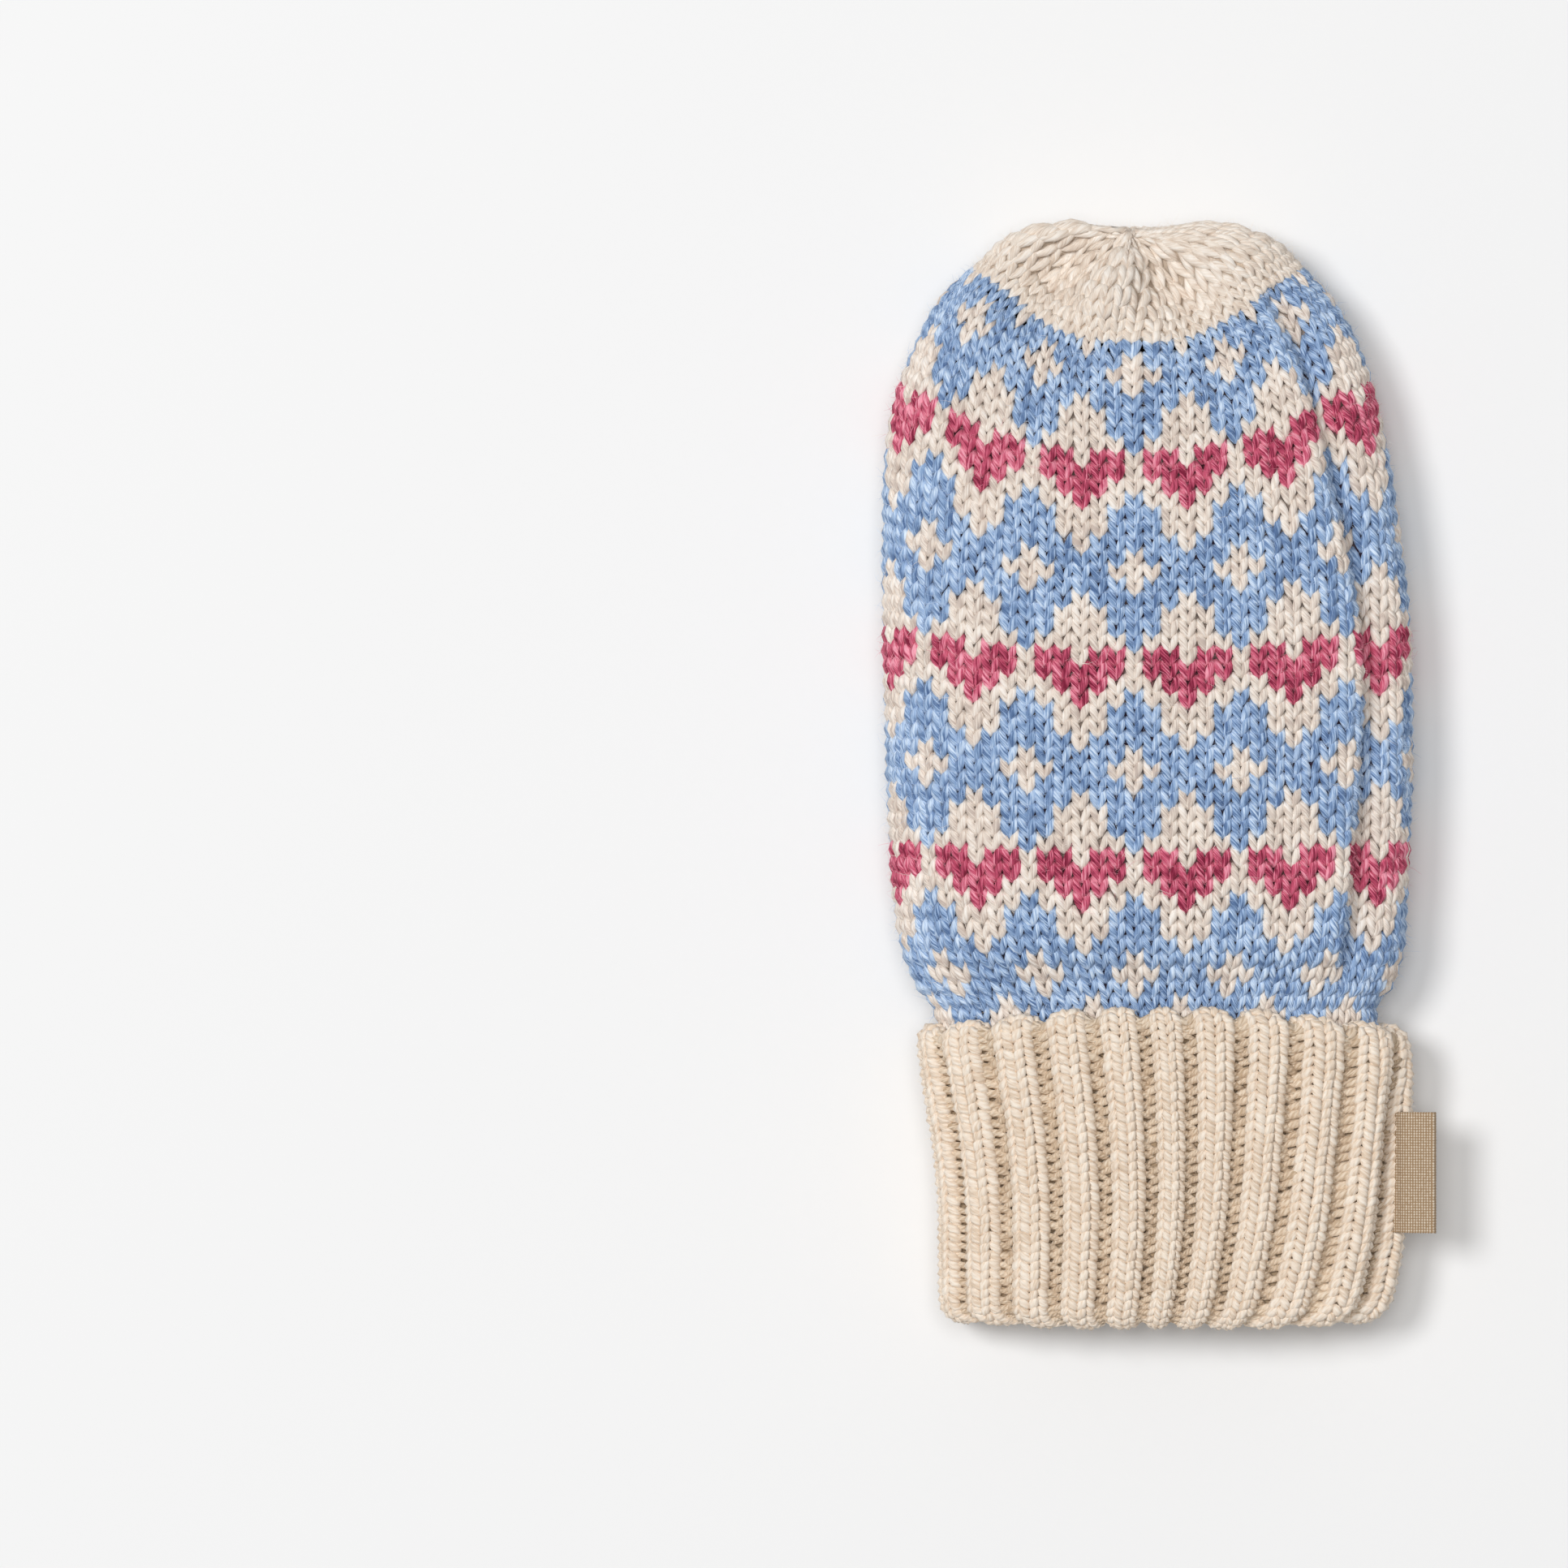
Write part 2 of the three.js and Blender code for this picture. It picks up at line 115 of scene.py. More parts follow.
# Sections of the crown, with at as a share of CROWN_LENGTH from the end of the pattern
CROWN_SECTIONS = [
    (0.265, 0.88, 0.95, 0.266, 0.25, 0.69, 0.41, 0.14, 0.82),
    (0.522, 0.69, 0.76, 0.207, 0.19, 0.65, 0.45, 0.26, 0.84),
    (0.728, 0.5, 0.53, 0.145, 0.12, 0.61, 0.48, 0.37, 0.88),
    (0.89, 0.24, 0.25, 0.088, 0.042, 0.565, 0.5, 0.45, 0.94),
    (1, 0, 0, 0.04, -0.022, 0.53, 0.52, 0.505, 1),
]

# Sections of the turned cuff. at: share of CUFF_HEIGHT from the fold. left, right: shares of
# CUFF_WIDTH from the middle line. top, mid, low: levels as shares of CUFF_THICKNESS.
CUFF_COLUMNS = ("at", "left", "right", "top", "mid", "low")
CUFF_SECTIONS = [
    (0, 0.42, 0.48, 0.86, 0.45, 0),
    (0.12, 0.42, 0.503, 0.9, 0.45, 0),
    (0.35, 0.42, 0.524, 0.93, 0.45, 0),
    (0.6, 0.432, 0.532, 0.96, 0.45, 0),
    (0.85, 0.456, 0.537, 0.99, 0.45, 0),
    (0.95, 0.463, 0.532, 1, 0.45, 0),
    (1, 0.458, 0.513, 1, 0.45, 0),
]

# Where the long crease runs: share of HAND_LENGTH, and stitches from the middle line. It fades out
# towards its two ends, and has a low ridge on its left.
CREASE_PATH = [(0, 12), (0.3, 12.5), (0.48, 12.9), (0.74, 12), (1, 10.8)]
CREASE_WIDTH = {"left": 0.75, "right": 1.5}
CREASE_RIDGE = 0.3
CREASE_START = 0.02
CREASE_END = 1.02
CREASE_FADE = 0.07

# Creases, hollows and swellings of the gathered end: stitches from the middle line, share of
# CROWN_LENGTH, reach in stitches and as a share of CROWN_LENGTH, and push as a share of HAND_WALL
CROWN_FOLDS = {
    "left crease": (-7.2, 0.47, 1.3, 0.36, -0.9),
    "left hollow": (-10.4, 0.34, 2.7, 0.36, -2.5),
    "left lobe": (-15.5, 0.5, 3, 0.4, 0.9),
    "tongue": (-3.4, 0.42, 2.6, 0.32, 1.1),
    "right crease": (1, 0.58, 1.3, 0.28, -1.2),
    "right hollow": (4, 0.46, 2.5, 0.34, -2.1),
    "right lobe": (12.5, 0.5, 4, 0.37, 0.7),
}

# How sharply a row of stitches turns up towards the side: more keeps the middle straighter
RISE_BEND = {"front left": 3.7, "front right": 2.7, "back": 4.5}
ARCH_BEND = 3

# Rows of the hand and crown, counted from the cuff's edge: row, and place as in the sections
ROW_PLACES = [(-4, -0.077), (2, 0.049), (16, 0.355), (30, 0.652), (44, 0.949), (46.5, 1), (53.5, 2)]
FIRST_ROW = -2
LAST_PATTERN_ROW = 46
GATHER_ROW = 53.5

# The repeat of six stitches and fourteen rows, from its top row down: blue, cream, pink
CHART = """
cbbbbb
ccbbbc
cbbbbb
bbbcbb
bbcccb
bbcccb
bccccc
cppcpp
cppppp
ccpppc
bccpcc
bbcccb
bbcccb
bbbcbb
""".split()
CHART_TOP_ROW = 4
FIRST_COLUMN_PLACE = -1.24

# Rows of the cuff, counted along its fabric from the fold's lowest line
CUFF_ROW = 1.4 * MM
FOLD_RADIUS = (2 * CUFF_WALL + LAYER_GAP) / 2
EDGE_RADIUS = CUFF_WALL / 2
EDGE_DIP = 0.9 * MM
EDGE_DIP_REACH = 4 * MM

# The ribs are shallower on the fold and at the free edge: share lost, and the rows where it happens
FOLD_FADE = 0.6
FOLD_FADE_ROWS = 3
FOLD_SINK = 0.45 * MM
EDGE_FADE = 0.7
EDGE_FADE_ROW = 27
EDGE_FADE_ROWS = 7

# The side seam's groove: its reach in stitches, and the row where it ends
SEAM_REACH = 0.9
SEAM_END_ROW = 30

# The ribs lean to the left towards the fold: how far in stitches, and about which column
LEAN_STITCHES = 1.4
LEAN_COLUMN = 7.5
LEAN_SPAN = 7

# The label's ribbon
LABEL_THICKNESS = 0.45 * MM
LABEL_GAP = 0.3 * MM
LABEL_TILT = math.radians(15)
LABEL_TUCK = 1.3 * MM
LABEL_DIP = 1.4 * MM
LABEL_DIP_REACH = 2.8 * MM
THREAD_PITCH = 0.38 * MM
THREAD_RELIEF = 0.04 * MM
SELVEDGE_WAVE = 0.05 * MM

SEED = 11
random = np.random.default_rng(SEED)


def smooth(share):
    t = np.clip(share, 0, 1)
    return t * t * (3 - 2 * t)


def bell(distance, reach):
    return np.exp(-((distance / reach) ** 2))


def monotone(places, values, at):
    """Value at a place on a smooth curve through a table's column that never overshoots."""
    places, values = np.array(places, float), np.array(values, float)
    rise = np.diff(values) / np.diff(places)
    slope = np.concatenate([rise[:1], np.zeros(len(rise) - 1), rise[-1:]])
    same_way = rise[:-1] * rise[1:] > 0
    both = np.where(same_way, rise[:-1] + rise[1:], 1)
    slope[1:-1] = np.where(same_way, 2 * rise[:-1] * rise[1:] / both, 0)
    place = np.clip(at, places[0], places[-1])
    i = np.clip(np.searchsorted(places, place, side="right") - 1, 0, len(rise) - 1)
    span = places[i + 1] - places[i]
    t = (place - places[i]) / span
    start = values[i] * (2 * t**3 - 3 * t**2 + 1) + slope[i] * span * (t**3 - 2 * t**2 + t)
    end = values[i + 1] * (3 * t**2 - 2 * t**3) + slope[i + 1] * span * (t**3 - t**2)
    return start + end


def named(columns, rows):
    return [dict(zip(columns, row)) for row in rows]


def table_value(table, key, at):
    return monotone([row["at"] for row in table], [row[key] for row in table], at)


def quarter(half_width, height, roundness, share):
    """Across and up a quarter of a section at even shares of the way from crest to side."""
    angle = np.linspace(0, math.pi / 2, QUARTER_STEPS + 1)
    across = half_width * np.sin(angle) ** (2 / roundness)
    up = height * np.clip(np.cos(angle), 0, 1) ** (2 / roundness)
    way = np.concatenate([[0], np.cumsum(np.hypot(np.diff(across), np.diff(up)))])
    return np.interp(share * way[-1], way, across), np.interp(share * way[-1], way, up)


def section_points(section, depth, column, fronts):
    """Points of a section at stitch columns, depth inside its outer face. fronts: stitches on the
    left and right half of its front."""
    low = section["low"] if section["low"] > 0 else -SETTLE
    half_width = (section["left"] + section["right"]) / 2 - depth
    front_height = section["top"] - section["mid"] - depth
    back_height = section["mid"] - low - depth
    place = column - STITCH_COUNT * np.round(column / STITCH_COUNT)
    right = place >= 0
    front_stitches = np.where(right, fronts[1], fronts[0])
    front = np.abs(place) <= front_stitches
    back_share = (STITCH_COUNT / 2 - np.abs(place)) / (STITCH_COUNT / 2 - front_stitches)
    share = np.where(front, np.abs(place) / front_stitches, back_share) ** section["spread"]
    front_curve = quarter(half_width, front_height, FRONT_ROUNDNESS, share)
    back_curve = quarter(half_width, back_height, BACK_ROUNDNESS, share)
    across = np.where(front, front_curve[0], back_curve[0])
    up = np.where(front, front_curve[1], back_curve[1])
    roundness = np.where(front, FRONT_ROUNDNESS, BACK_ROUNDNESS)
    height = np.where(front, front_height, back_height)
    side, face = np.where(right, 1, -1), np.where(front, 1, -1)
    steep_x = side * (across / half_width) ** (roundness - 1) / half_width
    steep_z = face * (up / height) ** (roundness - 1) / height
    steep = np.hypot(steep_x, steep_z)
    return {
        "x": (section["right"] - section["left"]) / 2 + side * across,
        "z": section["mid"] + face * up,
        "out_x": steep_x / steep,
        "out_z": steep_z / steep,
        "floor": max(section["low"], 0) + depth,
        "place": place,
        "right": right,
        "front": front,
        "share": share,
    }


cuff_table = named(CUFF_COLUMNS, CUFF_SECTIONS)


def cuff_section(height):
    at = height / CUFF_HEIGHT
    section = {"y": FOLD_Y + height, "spread": CUFF_SPREAD}
    for key, size in (("left", CUFF_WIDTH), ("right", CUFF_WIDTH), ("top", CUFF_THICKNESS),
                      ("mid", CUFF_THICKNESS), ("low", CUFF_THICKNESS)):
        section[key] = float(table_value(cuff_table, key, at)) * size
    return section


def tucked_section(height):
    """The end of the hand that is tucked in the cuff follows the inside of its outer layer."""
    inside = CUFF_WALL + LAYER_GAP
    cuff = cuff_section(height)
    return {
        "at": (height - CUFF_HEIGHT) / HAND_LENGTH,
        "y": cuff["y"],
        "side": 0,
        "back": 0,
        "left": cuff["left"] - inside,
        "right": cuff["right"] - inside,
        "top": cuff["top"] - inside,
        "mid": cuff["mid"],
        "low": cuff["low"] + inside,
        "spread": 1,
    }


def sized(section, at, y):
    return {
        "at": at,
        "y": y,
        "side": section["side"] * SIDE_RISE,
        "back": section["back"] * BACK_RISE,
        "left": section["left"] * HAND_WIDTH,
        "right": section["right"] * HAND_WIDTH,
        "top": section["top"] * HAND_THICKNESS,
        "mid": section["mid"] * HAND_THICKNESS,
        "low": section["low"] * HAND_THICKNESS,
        "spread": section["spread"],
    }


# At the cuff's edge the hand fills the cuff's narrower side
edge_section = tucked_section(CUFF_HEIGHT)
edge_section["left"] += SNUG_SIDE
edge_section["top"] += SNUG_FRONT

fabric_table = [
    tucked_section(CUFF_HEIGHT - TUCK_LENGTH),
    edge_section,
    *(sized(s, s["at"], EDGE_Y + s["at"] * HAND_LENGTH) for s in named(HAND_COLUMNS, HAND_SECTIONS)),
    *(
        sized(s, 1 + s["at"], PATTERN_END_Y + s["at"] * CROWN_LENGTH)
        for s in named(HAND_COLUMNS, CROWN_SECTIONS)
    ),
]

# The section, just above the cuff, whose middle the stitch columns are counted from
straight_section = fabric_table[3]


def fold_push(column, at):
    """How far the side crease and the folds of the crown push the fabric outwards."""
    fade = smooth((at - CREASE_START) / CREASE_FADE) * smooth((CREASE_END - at) / CREASE_FADE)
    crown_place = at - 1 if at > 1 else (at - 1) * HAND_LENGTH / CROWN_LENGTH
    beside = column - monotone(*zip(*CREASE_PATH), at)
    crease = bell(beside, np.where(beside < 0, CREASE_WIDTH["left"], CREASE_WIDTH["right"]))
    ridge = CREASE_RIDGE * bell(beside + CREASE_WIDTH["right"], CREASE_WIDTH["right"])
    push = CREASE_DEPTH * fade * (ridge - crease)
    for fold_column, fold_at, wide, long, depth in CROWN_FOLDS.values():
        reach = bell(column - fold_column, wide) * bell(crown_place - fold_at, long)
        push = push + depth * HAND_WALL * reach
    return push


def middle_of(section):
    return (section["right"] - section["left"]) / 2


def fabric_row(row, column):
    """A row of the hand or crown: its points at stitch columns, which run straight up from the cuff
    although the mitten's middle line bends."""
    at = float(monotone(*zip(*ROW_PLACES), row))
    section = {key: float(table_value(fabric_table, key, at)) for key in ("y", *HAND_COLUMNS[1:])}
    drift = middle_of(section) - middle_of(straight_section)
    p = section_points(section, 0, column - drift / STITCH_WIDTH, HAND_FRONT)
    front_bend = np.where(p["right"], RISE_BEND["front right"], RISE_BEND["front left"])
    bend = np.where(p["front"], front_bend, RISE_BEND["back"])
    side_share = np.sin(p["share"] * math.pi / 2) ** bend
    start = np.where(p["front"], 0, section["back"])
    push = fold_push(p["place"], at)
    x = p["x"] + push * p["out_x"]
    y = section["y"] + start + (section["side"] - start) * side_share
    z = np.maximum(p["z"] + push * p["out_z"], p["floor"])
    return np.stack([x, y, z], axis=-1)


def cuff_profile(row):
    """Height above the fold and depth inside the outer face, row by row along the cuff's fabric."""
    way = row * CUFF_ROW
    fold_quarter = FOLD_RADIUS * math.pi / 2
    straight = CUFF_HEIGHT - FOLD_RADIUS - EDGE_RADIUS
    if abs(way) <= fold_quarter:
        turn = way / FOLD_RADIUS
        return FOLD_RADIUS * (1 - math.cos(turn)), FOLD_RADIUS * (1 - math.sin(turn))
    if way < 0:
        return FOLD_RADIUS - way - fold_quarter, 2 * FOLD_RADIUS
    if way <= fold_quarter + straight:
        return FOLD_RADIUS + way - fold_quarter, 0
    turn = min((way - fold_quarter - straight) / EDGE_RADIUS, math.pi)
    edge_way = CUFF_HEIGHT - EDGE_RADIUS
    return edge_way + EDGE_RADIUS * math.sin(turn), EDGE_RADIUS * (1 - math.cos(turn))


def rib_valley(column):
    """0 on the crest of a rib and 1 in the middle of the valley beside it."""
    return ((1 - np.cos(2 * math.pi * column / RIB_STITCHES)) / 2) ** RIB_SHARPNESS


def cuff_row(row, column):
    """A row of the cuff without its ribs: its points at stitch columns."""
    height, depth = cuff_profile(row)
    lean = LEAN_STITCHES * (1 - height / CUFF_HEIGHT) * bell(column - LEAN_COLUMN, LEAN_SPAN)
    p = section_points(cuff_section(height), depth, column - lean, CUFF_FRONT)
    side_share = np.sin(p["share"] * math.pi / 2) ** ARCH_BEND
    fold_rise = FOLD_ARCH * smooth(1 - 4 * height / CUFF_HEIGHT)
    edge_drop = EDGE_ARCH * smooth(height / CUFF_HEIGHT) if row > 0 else 0
    near_edge = smooth((height - CUFF_HEIGHT + EDGE_DIP_REACH) / EDGE_DIP_REACH)
    edge_dip = EDGE_DIP * near_edge if row > 0 else 0
    y = FOLD_Y + height + (fold_rise - edge_drop) * side_share - edge_dip * rib_valley(column)
    z = np.maximum(p["z"], p["floor"])
    return np.stack([p["x"], y, z], axis=-1)


def unit(vector):
    length = np.linalg.norm(vector, axis=-1, keepdims=True)
    return vector / np.maximum(length, 1e-12)


class Cloth:
    """A surface through rows of points round the mitten, sampled by stitch column and row."""

    def __init__(self, row_points, first, last, step, columns_per_stitch=6):
        self.first, self.step = first, step
        self.width = STITCH_COUNT * columns_per_stitch
        column = np.arange(self.width) / columns_per_stitch - STITCH_COUNT / 2
        self.column = column
        self.rows = np.arange(first, last + step / 2, step)
        self.points = np.array([row_points(row, column) for row in self.rows])
        self.normals = self.outward()

    def outward(self):
        p = self.points
        across = np.roll(p, -1, axis=1) - np.roll(p, 1, axis=1)
        return unit(np.cross(across, np.gradient(p, axis=0)))

    def push(self, distance):
        """Moves the surface outwards by a distance at each row and column."""
        self.points = self.points + self.normals * distance[..., None]
        self.normals = self.outward()

    def sample(self, grid, column, row):
        c = (column + STITCH_COUNT / 2) / STITCH_COUNT * self.width
        r = np.clip((row - self.first) / self.step, 0, len(self.rows) - 1.001)
        c0, r0 = np.floor(c).astype(int), np.floor(r).astype(int)
        tc, tr = (c - c0)[..., None], (r - r0)[..., None]
        left, right = c0 % self.width, (c0 + 1) % self.width
        near = grid[r0, left] * (1 - tc) + grid[r0, right] * tc
        far = grid[r0 + 1, left] * (1 - tc) + grid[r0 + 1, right] * tc
        return near * (1 - tr) + far * tr

    def at(self, column, row):
        return self.sample(self.points, column, row), unit(self.sample(self.normals, column, row))

    def stitch_width(self, column, row):
        a = self.sample(self.points, column - 0.5, row)
        b = self.sample(self.points, column + 0.5, row)
        return np.linalg.norm(b - a, axis=-1)


def flat_on_floor(points):
    """Yarn that would reach under the floor is pressed flat on it."""
    points[..., 2] = np.maximum(points[..., 2], 0)
    return points


# The thinnest and thickest radius of yarn, and how far a length wanders for its jitter: across in
# stitches, and up in radii
YARN_RADII = (0.3 * MM, 0.72 * MM)
WANDER_ACROSS = 0.5
WANDER_UP = 1.5


def lay_yarn(cloth, column, row, shape, pitch, mirror, width, level, jitter, sides):
    """Short lengths of yarn on a cloth. shape is a table of rings along a length: (across in
    stitches, along in rows, lift in radii, share of the full radius). Returns rings of points, the
    path, its outward direction, radius and way along."""
    across, along, lift, size = (np.array(values, float) for values in zip(*shape))
    count = len(column)
    wander = random.normal(0, jitter, (count, 4))
    c = column[:, None] + mirror[:, None] * across * pitch + wander[:, :1] * pitch * WANDER_ACROSS
    r = row[:, None] + along + wander[:, 1:2]
    local = cloth.stitch_width(column, row) * pitch
    radius = np.clip(local * width, *YARN_RADII) * (1 + wander[:, 2])
    radius = radius[:, None] * size
    point, normal = cloth.at(c, r)
    rise = level + radius * (lift + wander[:, 3:4] * WANDER_UP)
    path = point + normal * rise[..., None]
    tangent = unit(np.gradient(path, axis=1))
    side = unit(np.cross(normal, tangent))
    out = np.cross(tangent, side)
    angle = (np.arange(sides) + 0.5) / sides * 2 * math.pi
    around = (
        np.cos(angle)[:, None] * side[:, :, None] + np.sin(angle)[:, None] * out[:, :, None]
    )
    rings = path[:, :, None] + radius[..., None, None] * around
    step = np.linalg.norm(np.diff(path, axis=1), axis=-1)
    way = np.concatenate([np.zeros((count, 1)), np.cumsum(step, axis=1)], axis=1)
    return {
        "rings": flat_on_floor(rings),
        "path": path,
        "out": out,
        "side": side,
        "tangent": tangent,
        "radius": radius,
        "way": way,
    }


def new_mesh(name, points, faces, uv=None, strand=None):
    """A smooth mesh of faces, given as arrays of equal-sided polygons, with a UV map of yarn for
    each corner and a colour attribute for each point."""
    corners = np.concatenate([f.ravel() for f in faces]).astype(np.int32)
    sides = np.concatenate([np.full(len(f), f.shape[1]) for f in faces])
    starts = np.concatenate([[0], np.cumsum(sides)[:-1]]).astype(np.int32)
    mesh = bpy.data.meshes.new(name)
    mesh.vertices.add(len(points))
    mesh.vertices.foreach_set("co", points.astype(np.float32).ravel())
    mesh.loops.add(len(corners))
    mesh.loops.foreach_set("vertex_index", corners)
    mesh.polygons.add(len(starts))
    mesh.polygons.foreach_set("loop_start", starts)
    mesh.update(calc_edges=True)
    mesh.polygons.foreach_set("use_smooth", np.ones(len(starts), bool))
    if uv is not None:
        layer = mesh.uv_layers.new(name="yarn")
        layer.data.foreach_set("uv", uv.astype(np.float32).ravel())
    if strand is not None:
        colour = mesh.attributes.new("strand", "FLOAT_COLOR", "POINT")
        colour.data.foreach_set("color", strand.astype(np.float32).ravel())
    piece = bpy.data.objects.new(name, mesh)
    bpy.context.scene.collection.objects.link(piece)
    return piece


def yarn_faces(ring_count, sides):
    """Faces of one closed length of yarn, first its sides and then its two ends, each as the
    corners' steps around the yarn and along it."""
    ring, side = np.meshgrid(np.arange(ring_count - 1), np.arange(sides), indexing="ij")
    ring, side = ring.reshape(-1, 1), side.reshape(-1, 1)
    around = np.arange(sides)
    ends = np.repeat([[0], [ring_count - 1]], sides, axis=1)
    return [
        (side + [[0, 1, 1, 0]], ring + [[0, 0, 1, 1]]),
        (np.stack([around[::-1], around]), ends),
    ]


def yarn_mesh(name, lengths):
    """One mesh of many lengths of yarn, each with its own random numbers in the strand colour."""
    points, faces, uvs, strands = [], [], [], []
    start = 0
    for yarn in lengths:
        count, ring_count, sides = yarn["rings"].shape[:3]
        points.append(yarn["rings"].reshape(-1, 3))
        offsets = start + ring_count * sides * np.arange(count)
        diameters_along = yarn["way"] / (2 * yarn["radius"].max(axis=1, keepdims=True))
        for around, along in yarn_faces(ring_count, sides):
            index = along * sides + around % sides
            faces.append((index[None] + offsets[:, None, None]).reshape(-1, index.shape[1]))
            u = np.broadcast_to(around / sides, (count, *around.shape))
            uvs.append(np.stack([u, diameters_along[:, along]], axis=-1).reshape(-1, 2))
        strand = np.ones((count, ring_count, sides, 4))
        strand[..., :2] = random.random((count, 1, 1, 2))
        strand[..., 2] = np.linspace(0, 1, ring_count)[None, :, None]
        strands.append(strand.reshape(-1, 4))
        start += count * ring_count * sides
    return new_mesh(name, np.concatenate(points), faces, np.concatenate(uvs), np.concatenate(strands))


# Loose fibres. turn: where round the yarn one starts, in half turns. root: how far out in the yarn,
# in radii. curl, droop: sideways and inward bend as shares of its length. taper: share of its width
# lost at the tip.
FIBRE_ROWS = 3
FIBRE_WIDTH = 0.045 * MM
FIBRE_LIFT = 0.45
FIBRE_LEAST_LIFT = 0.12
FIBRE_TURN = (0.15, 0.85)
FIBRE_ROOT = 0.8
FIBRE_SIDEWAYS = 0.9
FIBRE_LENGTH_SPREAD = 0.3
FIBRE_CURL = (0.3, 1.3)
FIBRE_DROOP = 0.25
FIBRE_TAPER = 0.75


def fuzz_mesh(name, lengths, count, reach):
    """Fine loose fibres that stand off the yarn: curved strips, each tapering to its tip."""
    frames = [
        np.concatenate([yarn[key].reshape(-1, 3) for yarn in lengths])
        for key in ("path", "out", "side", "tangent")
    ]
    radius = np.concatenate([yarn["radius"].reshape(-1) for yarn in lengths])
    pick = random.integers(0, len(radius), count)
    path, out, side, tangent = (values[pick] for values in frames)
    turn = random.uniform(*FIBRE_TURN, count)[:, None] * math.pi
    start = path + (np.cos(turn) * side + np.sin(turn) * out) * radius[pick][:, None] * FIBRE_ROOT
    spread = random.normal(0, 1, (count, 3))
    upwards = np.abs(spread[:, 2:]) * FIBRE_LIFT + FIBRE_LEAST_LIFT
    forward = unit(tangent * spread[:, :1] + side * spread[:, 1:2] * FIBRE_SIDEWAYS + out * upwards)
    bend = unit(np.cross(forward, random.normal(0, 1, (count, 3))))
    length = reach * random.lognormal(0, FIBRE_LENGTH_SPREAD, count)[:, None]
    curl = random.uniform(*FIBRE_CURL, count)[:, None]
    face = unit(np.cross(forward, random.normal(0, 1, (count, 3)) + out))
    rows = []
    for t in np.linspace(0, 1, FIBRE_ROWS):
        droop = out * length * FIBRE_DROOP * t * t
        centre = start + forward * length * t + bend * length * curl * t * t / 2 - droop
        half = face * FIBRE_WIDTH / 2 * (1 - FIBRE_TAPER * t)
        rows.append(np.stack([centre - half, centre + half], axis=1))
    points = flat_on_floor(np.stack(rows, axis=1).reshape(-1, 3))
    strip = np.array([(2 * i, 2 * i + 1, 2 * i + 3, 2 * i + 2) for i in range(FIBRE_ROWS - 1)])
    quads = (strip[None] + 2 * FIBRE_ROWS * np.arange(count)[:, None, None]).reshape(-1, 4)
    strand = np.ones((count * 2 * FIBRE_ROWS, 4))
    strand[:, :2] = np.repeat(random.random((count, 2)), 2 * FIBRE_ROWS, axis=0)
    return new_mesh(name, points, [quads], None, strand)


def wall_mesh(
    name, cloth, outer_rows, inner_rows, outer_depth, inner_depth, capped, shade, per_stitch=2
):
    """The fabric behind the stitches: an outer and an inner face, joined at the first rows, and
    at the last rows too unless both are capped there. shade gives the colour at a column and row,
    which is painted shade, darker than the wool in front."""
    columns = np.arange(per_stitch * STITCH_COUNT) / per_stitch - STITCH_COUNT / 2
    rings, shades = [], []
    for rows, depth in ((inner_rows[::-1], inner_depth), (outer_rows, outer_depth)):
        for row in rows:
            point, normal = cloth.at(columns, np.full(len(columns), float(row)))
            rings.append(flat_on_floor(point - normal * depth))
            shades.append(shade(columns, row))
    count, width = len(rings), len(columns)
    joins = count - 1 if capped else count
    i, j = np.meshgrid(np.arange(joins), np.arange(width), indexing="ij")
    n, k = (i + 1) % count, (j + 1) % width
    quads = np.stack([i * width + j, i * width + k, n * width + k, n * width + j], axis=-1)
    faces = [quads.reshape(-1, 4)]
    if capped:
        ring = np.arange(width)
        faces.append(np.stack([ring[::-1], ring + (count - 1) * width]))
    return new_mesh(name, np.concatenate(rings), faces, None, np.concatenate(shades))


